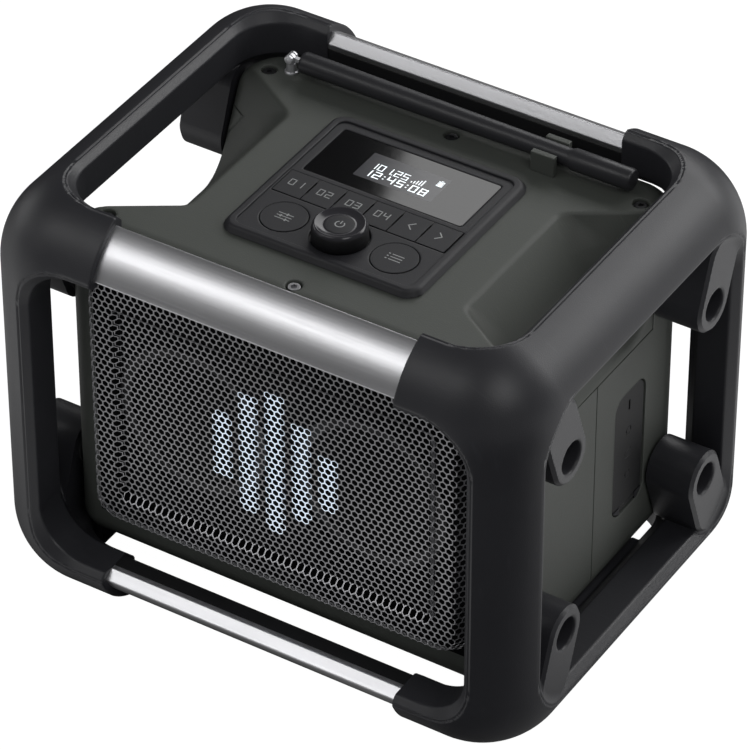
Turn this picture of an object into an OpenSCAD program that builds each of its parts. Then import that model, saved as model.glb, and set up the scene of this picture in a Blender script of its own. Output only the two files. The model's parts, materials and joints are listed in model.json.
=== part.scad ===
// Jobsite speaker: a housing hung by eight lugs inside a roll cage of two end frames and four cross bars.
// Millimetres, +Z up, front towards -Y, origin on the floor under the middle of the cage.

/* [Cage] */
// Width of the cage, along X
cage_w = 330; // [324:1:340]
// Depth of the cage, along Y
cage_d = 262; // [258:1:270]
// Height of the cage, along Z
cage_h = 256; // [252:1:264]
// Radius that rounds the edges and corners of the cage
cage_r = 48; // [46:0.5:50]
// From an outer face of the cage to the inner face of its rails
rail = 35; // [34:0.5:36]
// Corner radius of the cage windows
window_r = 27; // [24:0.5:29]
// How far the corner sleeves reach in from the ends of the cage
sleeve = 75.5; // [70:0.5:82]
// How far the bars sit below the outer curve of the sleeves
bar_inset = 4; // [3.5:0.25:4.5]

/* [Lugs] */
// Distance of a lug bore from the middle of the cage, along Y
lug_y = 72.8; // [71:0.2:74.4]
// Distance of a lug bore from the middle of the cage, along Z
lug_z = 57.5; // [56:0.5:59]
// Outer radius of a lug
lug_r = 15.5; // [14.5:0.25:16]
// Radius of the counterbore in a lug
lug_bore_r = 9; // [8:0.25:9.5]
// Angle of a lug, from level
lug_turn = 70; // [66:1:74]

/* [Housing] */
// From the end of the cage to the side of the housing
side_gap = 34; // [33:0.5:36]
// From the front of the cage to the front of the housing
front_gap = 39; // [38:0.5:41]
// From the back of the cage to the back of the housing
back_gap = 28.5; // [28:0.5:31]
// From the floor to the underside of the housing
under_gap = 25; // [24:0.5:28]
// From the top of the cage to the top of the housing
top_gap = 26; // [25.5:0.5:28]
// Radius that rounds the edges of the housing
body_r = 15; // [14:0.5:17]
// Wall of the housing
wall = 3; // [2.4:0.2:3.4]
// How far a hand scoop reaches in from the side of the housing
scoop_in = 49; // [44:1:52]
// How far a hand scoop drops from the top of the housing
scoop_drop = 62; // [56:1:64]

/* [Grille] */
// Width of the flat front of the grille
grille_w = 219; // [212:1:221]
// Height of the flat front of the grille
grille_h = 152; // [146:1:154]
// How far the grille stands out of the housing
grille_out = 7.5; // [6:0.5:9]
// Depth of the sunk middle of the grille
grille_sink = 3; // [2:0.5:3.5]

/* [Panel] */
// Width of the panel at its foot
panel_w = 119; // [117:0.5:122]
// Height of the panel above the housing
panel_h = 4; // [3.5:0.25:5]
// Distance between the middles of neighbouring flat keys
key_pitch = 17.2; // [16.6:0.1:17.3]
// Radius of a round key
round_key_r = 12.5; // [11.5:0.1:12.8]
// Radius of the knob
knob_r = 14.8; // [13.5:0.1:15.2]
// Travel of the keys
key_travel = 0.8; // [0.5:0.1:0.9]

/* [Antenna] */
// Thickness of the whip at its root
whip_d = 12; // [10:0.2:12.4]
// From the tip of the antenna to the end rail of the cage
tip_gap = 24; // [22:1:36]

/* [Hidden] */

// Colours
black = [0.10, 0.10, 0.11];
olive = [0.22, 0.23, 0.21];
silver = [0.75, 0.75, 0.77];
steel = [0.55, 0.55, 0.57];
mesh_grey = [0.20, 0.20, 0.21];
soft_black = [0.06, 0.06, 0.06];
board_green = [0.08, 0.22, 0.12];

// Smoothness of plain round shapes, of the rounded boxes and of the arcs worked out below
$fn = 48;
cage_fn = 40;
hull_fn = 32;
body_fn = 36;
cavity_fn = 20;
arc_steps = 8;

// Fits: a sliding or screw fit, a running fit on a pin, a visible gap around a key, a cut's overrun
ease = 0.15;
running = 0.05;
key_gap = 0.4;
over = 1;

// Half sizes of the cage and of its windows
cx = cage_w / 2;
cy = cage_d / 2;
cz = cage_h / 2;
win_x = cx - rail;
win_y = cy - rail;
win_z = cz - rail;

// Bevel of the window edges and of the inner corners: wide on the sleeves, narrow on the rails and legs
bevel_deep = 13.3;
bevel_wide = 5.8;
corner_w = 9;
rail_cut = 2 * rail - corner_w;
edge_w = 3;
edge_cut = 2 * rail - edge_w;

// Bars: their skin, faces and corners, measured from the centre of the rounding, and their place
bar_r = cage_r - bar_inset;
bar_under = 1;
bar_face = cage_r - rail + bar_under;
bar_skin = 3;
bar_nose_at = 0.91;
bar_nose = bar_r * bar_nose_at;
bar_nose_up = sqrt(bar_r * bar_r - bar_nose * bar_nose);
bar_bevel_w = 5.7;
bar_bevel = bar_nose - bar_bevel_w;
bar_cut = bar_face + corner_w;
core_inset = 0.4;
core_nose = bar_nose - bar_skin - core_inset;
core_nose_up = sqrt(pow(bar_r - bar_skin, 2) - core_nose * core_nose);
sleeve_end = cx - sleeve;
socket = 35;
bar_half = sleeve_end + socket;
bar_screw_x = sleeve_end + socket / 2;

// Screws: shank and head radii and head heights, small and large
small_r = 1.9;
small_head_r = 3.4;
small_head = 2;
large_r = 2.5;
large_head_r = 4.5;
large_head = 4;
screw_grip = 12;
hex_share = 0.8;

// Lugs
lug_reach = 26;
lug_bevel = 3.5;
lug_sunk = 5;
lug_face = cx - lug_sunk;
washer_h = 1.5;
washer_r = 11;
lug_bore_deep = 20;

// Feet
foot_in = 31;
foot_w = 6.5;
foot_l = 44;
foot_h = 9.5;
foot_y = 60;

// Housing
body_x = cx - side_gap;
body_front = front_gap - cy;
body_back = cy - back_gap;
body_base = under_gap;
body_top = cage_h - top_gap;
seam_y = 4;
scoop_half_in = 47;
scoop_half_out = 78.5;
scoop_half_floor = 50;
cover_drop = 24;
cover_z = body_top - cover_drop;
lip = 2;
cover_lip = body_top - scoop_drop - lip;
cover_half = 61;
rear_r = 1.5 * body_r;
shelf_deep = 26;
shelf_h = 4;
boss_r = 5;
boss_long = 14;
post_in = 20;
post_x = body_x - post_in;
post_low = body_base + body_r + lip;
post_high = cover_lip - body_r;
top_screw_in = 18;
top_screw_x = body_x - top_screw_in;
top_screw_edge = 16;
top_screw_y = -body_front - top_screw_edge;
top_recess_r = 4.4;
top_recess = 1.2;

// Grille
sheet = 1.2;
grille_r = 12;
grille_flare = 5.5;
sink_margin = 14.5;
sink_r = 5;

// Drivers
driver_x = 54;
driver_hole = 46;
driver_r = 52;
flange = 3;
basket_deep = 34;
basket_foot = 2;
basket_t = 1.5;
basket_slot = 24;
magnet_r = 36;
magnet_deep = 22;
cone_r = 38.5;
cone_deep = 21;
cone_t = 0.8;
coil_r = 12.5;
coil_deep = 16;
dome = 6;
coil_room = 0.9;
coil_groove = 22;
surround_in = 39.2;
driver_screw_r = 49.8;

// Panel: foot, rim and the face inside the rim
panel_front = -57.5;
panel_back = 60;
panel_y = (panel_front + panel_back) / 2;
panel_half = (panel_back - panel_front) / 2;
panel_r = 10;
panel_slope = 4.2;
panel_rim = 2.4;
panel_dip = 1;
face_z = body_top + panel_h - panel_dip;
plate_h = 2.5;
tub_in = 8;
tub_x = panel_w / 2 - tub_in;
tub_y = panel_half - tub_in;
tub_deep = 12.4;
tub_wall = 2;
board_z = body_top - tub_deep;
board_h = 1.6;

// Antenna: the pivot's place between the panel and the rear bar, the fork and the whip
ant_in = 29;
ant_x = ant_in - body_x;
ant_share = 41 / 72;
ant_y = panel_back + (win_y - panel_back) * ant_share;
ant_up = 8.8;
ant_z = body_top + ant_up;
post_foot_r = 4.2;
post_neck_r = 3.6;
fork_slot = 3;
fork_wide = 6.6;
tongue_r = 2.6;
pin_r = 1.2;
whip_start = 7;
whip_thin = 0.84;
whip_len = win_x - tip_gap - ant_x;
tip_len = 36;
soft = 1.5;

// Clip that holds the whip down
clip_back = 49;
clip_x = ant_x + whip_len - clip_back;
clip_w = 14;
clip_h = 12;
clip_t = 3.6;
clip_room = 0.9;

// Keys, knob and display on the panel
key_count = 6;
row_back = 2.6;
key_deep = 19.4;
key_cap = 2.9;
key_proud = 0.3;
stem_r = 2;
switch_w = 6;
switch_h = 3.5;
round_x = 33;
round_y = -33.8;
knob_y = -33;
knob_up = 12.2;
knob_top = body_top + knob_up;
shaft_sunk = 2.5;
knob_lift = 1.2;
knob_taper = 1.8;
cap_r = 7.8;
cap_h = 0.8;
cap_sunk = 0.5;
shaft_r = 3;
bush_r = 4.5;
encoder_w = 13;
encoder_h = 7;
lens_w = 95;
lens_d = 41;
lens_y = 27;
lens_h = 1.4;
lens_ledge = 3.5;
module_h = 5;
module_room = 1;

// Side sockets and their cover
port_y = 40.2;
port_w = 31;
port_up = 37;
port_down = 26;
port_low = body_base + port_up;
port_high = cover_lip - port_down;
port_gap = 0.4;
flap_t = 2.4;
flap_r = 8;
flap_swing = 0.9;
knuckle_r = 1.7;
port_pin_r = 0.9;
port_pin_up = 2.6;
port_pin_z = port_low + port_pin_up;
port_pin_x = body_x - knuckle_r;
knuckle_half = port_w / 2 - flap_r;
pin_grip = 3.5;
pin_half = knuckle_half + pin_grip;
port_ear = 2;
usb_w = 14;
usb_h = 7;
usb_at = [0.42, 0.62];
jack_r = 4;
jack_bore = 1.8;
jack_at = 0.25;
socket_deep = 5;
socket_wall = 1;
port_room = 8;
port_wall = 2;
pull_w = 8;
pull_h = 1.6;

// Battery door, battery and boards
door_w = 126;
door_h = 74;
door_up = 60;
door_z = body_base + door_up;
door_top = door_z + door_h / 2;
door_t = 2.5;
door_ledge = 9;
door_pad = 3;
door_gap = 0.3;
cell_w = 100;
cell_d = 46;
cell_h = 54;
main_w = 150;
main_room = 8;
main_h = cover_z - door_top - main_room;
main_y = 53;
main_z = door_top + main_h / 2;
sink_w = 70;
sink_h = 40;
sink_t = 14;
sink_fins = 8;
fin_gap = 0.5;
stand_r = 3.5;
stand_in = 7;

// Outlines and shared shapes

// A rectangle with half sizes a and b and corners of radius r
function rounded(a, b, r) = [for (c = [0:3]) for (i = [0:arc_steps])
    let (t = 90 * (c + i / arc_steps))
    [(c == 0 || c == 3 ? 1 : -1) * (a - r) + r * cos(t), (c < 2 ? 1 : -1) * (b - r) + r * sin(t)]];

// Points along an arc about the origin
function arc(r, from, to, steps = arc_steps) = [for (i = [0:steps])
    let (t = from + (to - from) * i / steps) [r * cos(t), r * sin(t)]];

// Section of a bar about the centre of the cage's rounding, grown by g
function bar_points(g) = let (a = atan2(bar_nose_up, bar_nose)) concat(arc(bar_r + g, a, 90 - a),
    [[bar_face - g, bar_bevel + g], [bar_face - g, bar_cut - g],
     [bar_cut - g, bar_face - g], [bar_bevel + g, bar_face - g]]);

// Section of the dark core inside a bar
function core_points() = let (a = atan2(core_nose_up, core_nose)) concat(arc(bar_r - bar_skin, a, 90 - a),
    [[bar_face, bar_bevel - bar_skin], [bar_face, bar_cut],
     [bar_cut, bar_face], [bar_bevel - bar_skin, bar_face]]);

// A solid between two outlines with equally many points
module loft(low, high, z_low, z_high) {
    n = len(low);
    polyhedron(
        points = concat([for (p = low) [p.x, p.y, z_low]], [for (p = high) [p.x, p.y, z_high]]),
        faces = concat([[for (i = [0:n - 1]) i]], [[for (i = [n - 1:-1:0]) n + i]],
            [for (i = [0:n - 1]) [i, n + i, n + (i + 1) % n, (i + 1) % n]]));
}

// A ball whose poles and equator reach the full radius
module ball(r, smooth) { rotate_extrude($fn = smooth) polygon(arc(r, -90, 90, smooth / 2)); }

// A disc of radius a with a full round edge of radius r
module round_disc(a, r, smooth) {
    rotate_extrude($fn = smooth)
        polygon(concat([[0, -r]], [for (p = arc(r, -90, 90, smooth / 2)) [p.x + a - r, p.y]], [[0, r]]));
}

module rounded_box(low, high, r, smooth) {
    hull()
        for (x = [low.x + r, high.x - r], y = [low.y + r, high.y - r], z = [low.z + r, high.z - r])
            translate([x, y, z]) ball(r, smooth);
}

// Turns a shape drawn in X and Y so that X becomes Y, Y becomes Z and Z becomes X
module along_x() { rotate([90, 0, 90]) children(); }

// Turns a shape drawn in X and Y so that Y becomes Z and Z becomes the way back
module along_y() { rotate([90, 0, 0]) mirror([0, 0, 1]) children(); }

// Copies a shape into the four quarters of the Y-Z plane, about the middle of the cage
module quarters() {
    for (y = [0, 1], z = [0, 1])
        translate([0, 0, cz]) mirror([0, y, 0]) mirror([0, 0, z]) children();
}

module both_sides() {
    children();
    mirror([1, 0, 0]) children();
}

module box(low, high) { translate(low) cube(high - low); }

// An outline drawn out from one height to another
module slab(points, low, high) { translate([0, 0, low]) linear_extrude(high - low) polygon(points); }

// A screw along +Z with its seat at z = 0 and its head above
module screw(r, head_r, head, grip) {
    translate([0, 0, -grip]) cylinder(r = r, h = grip);
    difference() {
        cylinder(r = head_r, h = head);
        translate([0, 0, head / 2]) cylinder(r = r * hex_share, h = head, $fn = 6);
    }
}

// Cage

module window_bevel(a, b, half) {
    loft(rounded(a, b, window_r), rounded(a + bevel_wide, b + bevel_wide, window_r + bevel_wide),
        half - bevel_deep, half);
}

module windows() {
    linear_extrude(2 * cage_h, center = true) polygon(rounded(win_x, win_y, window_r));
    along_x() linear_extrude(2 * cage_w, center = true) polygon(rounded(win_y, win_z, window_r));
    along_y() linear_extrude(2 * cage_d, center = true) polygon(rounded(win_x, win_z, window_r));
    for (s = [0, 1]) {
        mirror([0, 0, s]) window_bevel(win_x, win_y, cz);
        mirror([0, s, 0]) along_y() window_bevel(win_x, win_z, cy);
    }
    along_x() window_bevel(win_y, win_z, cx);
}

// A square prism on its edge, which cuts the inner corners of the rails, legs and sleeves
module corner_cut(reach, long) {
    linear_extrude(2 * long, center = true) polygon([[reach, 0], [0, reach], [-reach, 0], [0, -reach]]);
}

module inner_corners() {
    corner_cut(cx + cy - edge_cut, win_z);
    along_x() corner_cut(cy + cz - rail_cut, win_x);
    along_y() corner_cut(cx + cz - edge_cut, win_y);
}

module half_cage() {
    difference() {
        intersection() {
            rounded_box([-cx, -cy, -cz], [cx, cy, cz], cage_r, cage_fn);
            box([sleeve_end, -cage_d, -cage_h], [cage_w, cage_d, cage_h]);
        }
        windows();
        inner_corners();
    }
}

module lug() {
    long = lug_face - body_x - washer_h;
    translate([body_x + washer_h, lug_y, lug_z]) rotate([lug_turn, 0, 0])
        hull()
            for (t = [0, lug_reach])
                translate([0, t, 0]) rotate([0, 90, 0]) {
                    cylinder(r = lug_r, h = long - lug_bevel, $fn = hull_fn);
                    cylinder(r = lug_r - lug_bevel, h = long, $fn = hull_fn);
                }
}

module at_lug() { translate([0, lug_y, lug_z]) rotate([0, 90, 0]) children(); }

// Places a shape on the slanted inner face of a sleeve, with +Z towards the middle of the cage
module at_bar_screw() {
    seat = (cage_r * 2 - rail_cut) / 2;
    translate([bar_screw_x, cy - cage_r + seat, cz - cage_r + seat]) rotate([135, 0, 0]) children();
}

module bar_place() { translate([0, cy - cage_r, cz - cage_r]) along_x() children(); }

module right_frame() {
    difference() {
        union() {
            translate([0, 0, cz]) half_cage();
            quarters() lug();
        }
        quarters() {
            bar_place() translate([0, 0, sleeve_end - over])
                linear_extrude(socket + over + ease) polygon(bar_points(ease));
            at_lug() translate([0, 0, lug_face - lug_bore_deep])
                cylinder(r = lug_bore_r, h = lug_bore_deep + over);
            at_lug() translate([0, 0, body_x]) cylinder(r = large_r + ease, h = lug_face - body_x);
            at_bar_screw() translate([0, 0, -screw_grip]) cylinder(r = small_r + ease, h = 2 * screw_grip);
        }
        for (s = [-1, 1])
            translate([cx - foot_in, s * foot_y - foot_l / 2, 0]) cube([foot_w, foot_l, foot_h]);
    }
}

module right_end_frame() { color(black) right_frame(); }

module left_end_frame() { color(black) mirror([1, 0, 0]) right_frame(); }

// One bar's skin in the quarter that the two mirrors choose
module bar(y, z) {
    color(silver) translate([0, 0, cz]) mirror([0, y, 0]) mirror([0, 0, z])
        bar_place() linear_extrude(2 * bar_half, center = true)
            difference() {
                polygon(bar_points(0));
                polygon(core_points());
            }
}

module bar_cores() {
    color(soft_black) quarters() difference() {
        bar_place() linear_extrude(2 * bar_half, center = true) polygon(core_points());
        both_sides() at_bar_screw() translate([0, 0, -screw_grip]) cylinder(r = small_r, h = 2 * screw_grip);
    }
}

module bar_screws() {
    color(steel) quarters() both_sides() at_bar_screw() difference() {
        translate([0, 0, -screw_grip]) cylinder(r = small_r, h = screw_grip);
        translate([0, 0, -small_head]) cylinder(r = small_r * hex_share, h = screw_grip, $fn = 6);
    }
}

module lug_washers() {
    color(soft_black) quarters() both_sides() at_lug() translate([0, 0, body_x])
        difference() {
            cylinder(r = washer_r, h = washer_h);
            cylinder(r = large_r + ease, h = 2 * washer_h);
        }
}

module lug_screws() {
    color(steel) quarters() both_sides() at_lug() translate([0, 0, lug_face - lug_bore_deep])
        screw(large_r, large_head_r, large_head, lug_face - lug_bore_deep - body_x + screw_grip);
}

module feet() {
    color(soft_black) both_sides() for (s = [-1, 1])
        translate([cx - foot_in, s * foot_y - foot_l / 2, 0]) cube([foot_w, foot_l, foot_h]);
}

// Housing

// The wedge that a hand scoop takes out of the top right edge, with each face moved out by d
module scoop(d) {
    slope = scoop_drop / scoop_in;
    spread = (scoop_half_out - scoop_half_in) / scoop_in;
    rise = (scoop_half_out - scoop_half_floor) / scoop_drop;
    shift = d * sqrt(1 + slope * slope) / slope;
    up = 2 * wall;
    in = body_x - scoop_in - shift - up / slope;
    far = body_x + scoop_in;
    top = body_top + up;
    low = top - slope * (far - in);
    side = d * sqrt(1 + spread * spread + rise * rise);
    half_in = scoop_half_in + side - spread * (shift + up / slope) + rise * up;
    half_far = half_in + spread * (far - in);
    half_low = half_far - rise * (top - low);
    polyhedron(
        points = [for (s = [-1, 1])
            each [[in, s * half_in, top], [far, s * half_far, top], [far, s * half_low, low]]],
        faces = [[0, 1, 2], [3, 5, 4], [0, 3, 4, 1], [1, 4, 5, 2], [0, 2, 5, 3]]);
}

module housing_solid(d, smooth) {
    difference() {
        hull() for (x = [-1, 1], z = [body_base + body_r, body_top - body_r]) {
            translate([x * (body_x - body_r), body_front + body_r, z]) ball(body_r - d, smooth);
            translate([x * (body_x - rear_r), body_back - rear_r, z]) round_disc(rear_r - d, body_r - d, smooth);
        }
        both_sides() scoop(d);
    }
}

module housing_skin() {
    difference() {
        housing_solid(0, body_fn);
        housing_solid(wall, cavity_fn);
    }
}

module cover_zone() {
    far = cage_w;
    box([-far, -far, cover_z], [far, far, cage_h]);
    both_sides() box([body_x - scoop_in - wall, -cover_half, cover_lip], [far, cover_half, cage_h]);
}

// Bosses that take the shell screws, the lug screws and, on their shelf, the cover's screws
module shell_bosses(from, to) {
    for (x = [-post_x, post_x], z = [post_low, post_high])
        translate([x, from, z]) along_y() cylinder(r = boss_r, h = to - from);
    s = sign(from + to);
    for (z = [-lug_z, lug_z])
        both_sides() translate([body_x - wall - boss_long, s * lug_y, cz + z]) rotate([0, 90, 0])
            cylinder(r = boss_r + wall, h = boss_long + wall / 2);
    y = s > 0 ? body_back - wall : body_front + wall;
    box([-body_x + body_r, min(y, y - s * shelf_deep), cover_z - shelf_h],
        [body_x - body_r, max(y, y - s * shelf_deep), cover_z]);
}

module shell_holes() {
    for (x = [-post_x, post_x], z = [post_low, post_high])
        translate([x, body_front + wall + over, z]) along_y() cylinder(r = small_r + running, h = cage_d);
    quarters() both_sides() at_lug() translate([0, 0, body_x - screw_grip - over])
        cylinder(r = large_r + running, h = cage_w);
    for (x = [-top_screw_x, 0, top_screw_x], y = [-top_screw_y, top_screw_y])
        translate([x, y, cover_z - shelf_h - over]) cylinder(r = small_r + running, h = cage_h);
}

module front_shell() {
    color(olive) difference() {
        union() {
            difference() {
                housing_skin();
                cover_zone();
                box([-cage_w, seam_y, 0], [cage_w, cage_d, cage_h]);
            }
            shell_bosses(body_front + wall / 2, seam_y);
        }
        shell_holes();
        for (x = [-driver_x, driver_x])
            translate([x, body_front - over, cz]) along_y() cylinder(r = driver_hole, h = 2 * wall + over);
        for (x = [-driver_x, driver_x], a = [45:90:315])
            translate([x + driver_screw_r * cos(a), body_front, cz + driver_screw_r * sin(a)])
                along_y() translate([0, 0, wall / 2]) cylinder(r = small_r / 2 + running, h = wall);
    }
}

module rear_shell() {
    color(olive) difference() {
        union() {
            difference() {
                housing_skin();
                cover_zone();
                box([-cage_w, -cage_d, 0], [cage_w, seam_y, cage_h]);
            }
            shell_bosses(seam_y, body_back - wall / 2);
            box([-door_w / 2 - wall, body_back - wall - door_pad, door_z - door_h / 2 - wall],
                [door_w / 2 + wall, body_back - wall / 2, door_z + door_h / 2 + wall]);
            for (x = [-1, 1], z = [-1, 1])
                translate([x * (main_w / 2 - stand_in), main_y + board_h, main_z + z * (main_h / 2 - stand_in)])
                    along_y() cylinder(r = stand_r, h = body_back - main_y - board_h - wall / 2);
        }
        shell_holes();
        for (x = [-post_x, post_x], z = [post_low, post_high])
            translate([x, body_back - 2 * small_head, z]) along_y()
                cylinder(r = small_head_r + ease, h = cage_d);
        box([-door_w / 2 - door_gap, body_back - door_t, door_z - door_h / 2 - door_gap],
            [door_w / 2 + door_gap, cage_d, door_z + door_h / 2 + door_gap]);
        box([-door_w / 2 + door_ledge, main_y, door_z - door_h / 2 + door_ledge],
            [door_w / 2 - door_ledge, cage_d, door_z + door_h / 2 - door_ledge]);
        at_door_screws() cylinder(r = small_r / 2 + running, h = 3 * screw_grip, center = true);
        port_pocket();
    }
}

module top_cover() {
    color(olive) difference() {
        union() {
            intersection() {
                housing_skin();
                cover_zone();
            }
            for (x = [-top_screw_x, 0, top_screw_x], y = [-top_screw_y, top_screw_y])
                translate([x, y, cover_z]) cylinder(r = boss_r, h = body_top - cover_z - wall / 2);
        }
        for (x = [-top_screw_x, 0, top_screw_x], y = [-top_screw_y, top_screw_y])
            translate([x, y, 0]) {
                cylinder(r = small_r + ease, h = cage_h);
                translate([0, 0, body_top - top_recess - small_head]) cylinder(r = top_recess_r, h = cage_h);
            }
        box([-tub_x - ease, panel_y - tub_y - ease, body_top - 2 * wall],
            [tub_x + ease, panel_y + tub_y + ease, cage_h]);
    }
}

module top_screws() {
    color(steel)
        for (x = [-top_screw_x, 0, top_screw_x], y = [-top_screw_y, top_screw_y])
            translate([x, y, body_top - top_recess - small_head])
                screw(small_r, small_head_r, small_head, cover_drop + shelf_h);
}

module shell_screws() {
    color(steel)
        for (x = [-post_x, post_x], z = [post_low, post_high])
            translate([x, body_back - 2 * small_head, z]) along_y()
                screw(small_r, small_head_r, small_head, body_back - seam_y + screw_grip);
}

module grille() {
    a = grille_w / 2;
    b = grille_h / 2;
    foot_a = a + grille_flare;
    foot_b = b + grille_flare;
    foot_r = grille_r + grille_flare;
    sink_a = a - sink_margin;
    sink_b = b - sink_margin;
    color(mesh_grey) translate([0, body_front, cz]) rotate([90, 0, 0]) difference() {
        union() {
            difference() {
                loft(rounded(foot_a, foot_b, foot_r), rounded(a, b, grille_r), 0, grille_out);
                translate([0, 0, -sheet]) loft(rounded(foot_a - sheet, foot_b - sheet, foot_r),
                    rounded(a - sheet, b - sheet, grille_r), 0, grille_out);
            }
            slab(rounded(sink_a + sheet, sink_b + sheet, sink_r), grille_out - grille_sink - sheet, grille_out);
        }
        slab(rounded(sink_a, sink_b, sink_r), grille_out - grille_sink, grille_out + over);
    }
}

module at_door_screws() {
    for (x = [-1, 1], z = [-1, 1])
        translate([x * (door_w - door_ledge) / 2, body_back - small_head / 2,
            door_z + z * (door_h - door_ledge) / 2]) along_y() children();
}

module battery_door() {
    color(olive) difference() {
        box([-door_w / 2, body_back - door_t, door_z - door_h / 2],
            [door_w / 2, body_back, door_z + door_h / 2]);
        at_door_screws() {
            cylinder(r = small_head_r, h = small_head);
            cylinder(r = small_r / 2 + ease, h = 2 * screw_grip, center = true);
        }
    }
}

module door_screws() {
    color(steel) at_door_screws() screw(small_r / 2, small_head_r - ease, small_head / 2, wall);
}

// Drivers

// Places a shape on each driver's axis, with +Z to the back and z = 0 at the back of the front wall
module at_driver(side) { translate([side * driver_x, body_front + wall, cz]) along_y() children(); }

module at_drivers() {
    for (s = [-1, 1])
        at_driver(s) children();
}

module driver_frames() {
    color(steel) at_drivers() difference() {
        rotate_extrude() polygon([[driver_hole, 0], [driver_r, 0], [driver_r, flange],
            [driver_hole + basket_t, flange], [magnet_r + basket_foot, basket_deep],
            [magnet_r - basket_foot, basket_deep], [driver_hole, flange]]);
        for (a = [45:90:315])
            rotate(a) translate([driver_screw_r, 0, -over]) cylinder(r = small_r / 2 + running, h = 2 * flange);
        for (a = [0:90:270])
            rotate(a) translate([magnet_r, 0, basket_deep / 2])
                cube([magnet_r, basket_slot, basket_deep / 3], center = true);
    }
}

module driver_magnets() {
    color(soft_black) at_drivers() difference() {
        translate([0, 0, basket_deep]) cylinder(r = magnet_r, h = magnet_deep);
        translate([0, 0, basket_deep - over]) difference() {
            cylinder(r = coil_r + coil_room, h = magnet_deep - flange + over);
            cylinder(r = coil_r - coil_room - cone_t, h = coil_groove);
        }
    }
}

module surrounds() {
    color(soft_black) at_drivers() rotate_extrude()
        polygon([[surround_in, 0], [driver_hole, 0], [driver_hole, flange / 2], [surround_in, flange / 2]]);
}

module cone(side) {
    foot = cone_deep + cone_t;
    end = cone_deep + coil_deep;
    color(soft_black) at_driver(side) rotate_extrude() polygon([
        [0, cone_deep - dome], [coil_r / 2, cone_deep - dome * 2 / 3], [coil_r, cone_deep],
        [cone_r, flange / 2], [cone_r, flange / 2 + cone_t], [coil_r, foot], [coil_r, end],
        [coil_r - cone_t, end], [coil_r - cone_t, foot], [0, foot - dome]]);
}

module driver_screws() {
    color(steel) at_drivers() for (a = [45:90:315])
        rotate(a) translate([driver_screw_r, 0, flange])
            screw(small_r / 2, small_r, small_r, flange + wall / 3);
}

// Panel

module at_key(i) { translate([(i - (key_count - 1) / 2) * key_pitch, row_back - key_deep / 2, 0]) children(); }

module at_round_key(side) { translate([side * round_x, round_y, 0]) children(); }

module panel_bezel() {
    foot = rounded(panel_w / 2, panel_half, panel_r);
    top = rounded(panel_w / 2 - panel_slope, panel_half - panel_slope, panel_r - panel_slope / 2);
    well = rounded(panel_w / 2 - panel_slope - panel_rim, panel_half - panel_slope - panel_rim, panel_r / 2);
    half_row = key_count * key_pitch / 2;
    color(black) translate([0, panel_y, 0]) difference() {
        union() {
            loft(foot, top, body_top, body_top + panel_h);
            box([-tub_x, -tub_y, board_z], [tub_x, tub_y, body_top]);
        }
        slab(well, face_z, cage_h);
        box([tub_wall - tub_x, tub_wall - tub_y, 0], [tub_x - tub_wall, tub_y - tub_wall, face_z - plate_h]);
        translate([0, -panel_y, 0]) {
            box([-half_row - key_gap, row_back - key_deep - key_gap, 0],
                [half_row + key_gap, row_back + key_gap, cage_h]);
            for (s = [-1, 1])
                at_round_key(s) cylinder(r = round_key_r + key_gap, h = cage_h);
            translate([0, knob_y, 0]) cylinder(r = bush_r + ease, h = cage_h);
            box([-lens_w / 2 - ease, lens_y - lens_d / 2 - ease, face_z - lens_h],
                [lens_w / 2 + ease, lens_y + lens_d / 2 + ease, cage_h]);
            box([-lens_w / 2 + lens_ledge, lens_y - lens_d / 2 + lens_ledge, 0],
                [lens_w / 2 - lens_ledge, lens_y + lens_d / 2 - lens_ledge, cage_h]);
        }
    }
}

module display_lens() {
    color(soft_black) box([-lens_w / 2, lens_y - lens_d / 2, face_z - lens_h],
        [lens_w / 2, lens_y + lens_d / 2, face_z]);
}

module display_module() {
    a = lens_w / 2 - lens_ledge - module_room;
    b = lens_d / 2 - lens_ledge - module_room;
    color(soft_black) box([-a, lens_y - b, face_z - lens_h - module_h], [a, lens_y + b, face_z - lens_h]);
}

module panel_board() {
    color(board_green) box([-tub_x, panel_y - tub_y, board_z - board_h], [tub_x, panel_y + tub_y, board_z]);
}

module switch() { translate([-switch_w / 2, -switch_w / 2, board_z]) cube([switch_w, switch_w, switch_h]); }

module switches() {
    color(steel) {
        for (i = [0:key_count - 1])
            at_key(i) switch();
        for (s = [-1, 1])
            at_round_key(s) switch();
    }
}

module key_stem() {
    foot = board_z + switch_h + key_travel + running;
    translate([0, 0, foot]) cylinder(r = stem_r, h = face_z + key_proud - key_cap - foot + over / 2);
}

module key(i) {
    w = key_pitch - key_gap;
    color(black) at_key(i) {
        translate([-w / 2, -key_deep / 2, face_z + key_proud - key_cap]) cube([w, key_deep, key_cap]);
        key_stem();
    }
}

module round_key(side) {
    color(black) at_round_key(side) {
        translate([0, 0, face_z + key_proud - key_cap]) cylinder(r = round_key_r, h = key_cap);
        key_stem();
    }
}

module encoder() {
    bush_top = face_z - running;
    color(steel) translate([0, knob_y, board_z]) difference() {
        union() {
            translate([-encoder_w / 2, -encoder_w / 2, 0]) cube([encoder_w, encoder_w, encoder_h]);
            cylinder(r = bush_r, h = bush_top - board_z);
        }
        translate([0, 0, 2 * key_travel]) cylinder(r = shaft_r + running, h = cage_h);
    }
}

module encoder_shaft() {
    low = board_z + 3 * key_travel;
    color(steel) translate([0, knob_y, low]) cylinder(r = shaft_r, h = knob_top - shaft_sunk - low);
}

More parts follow.
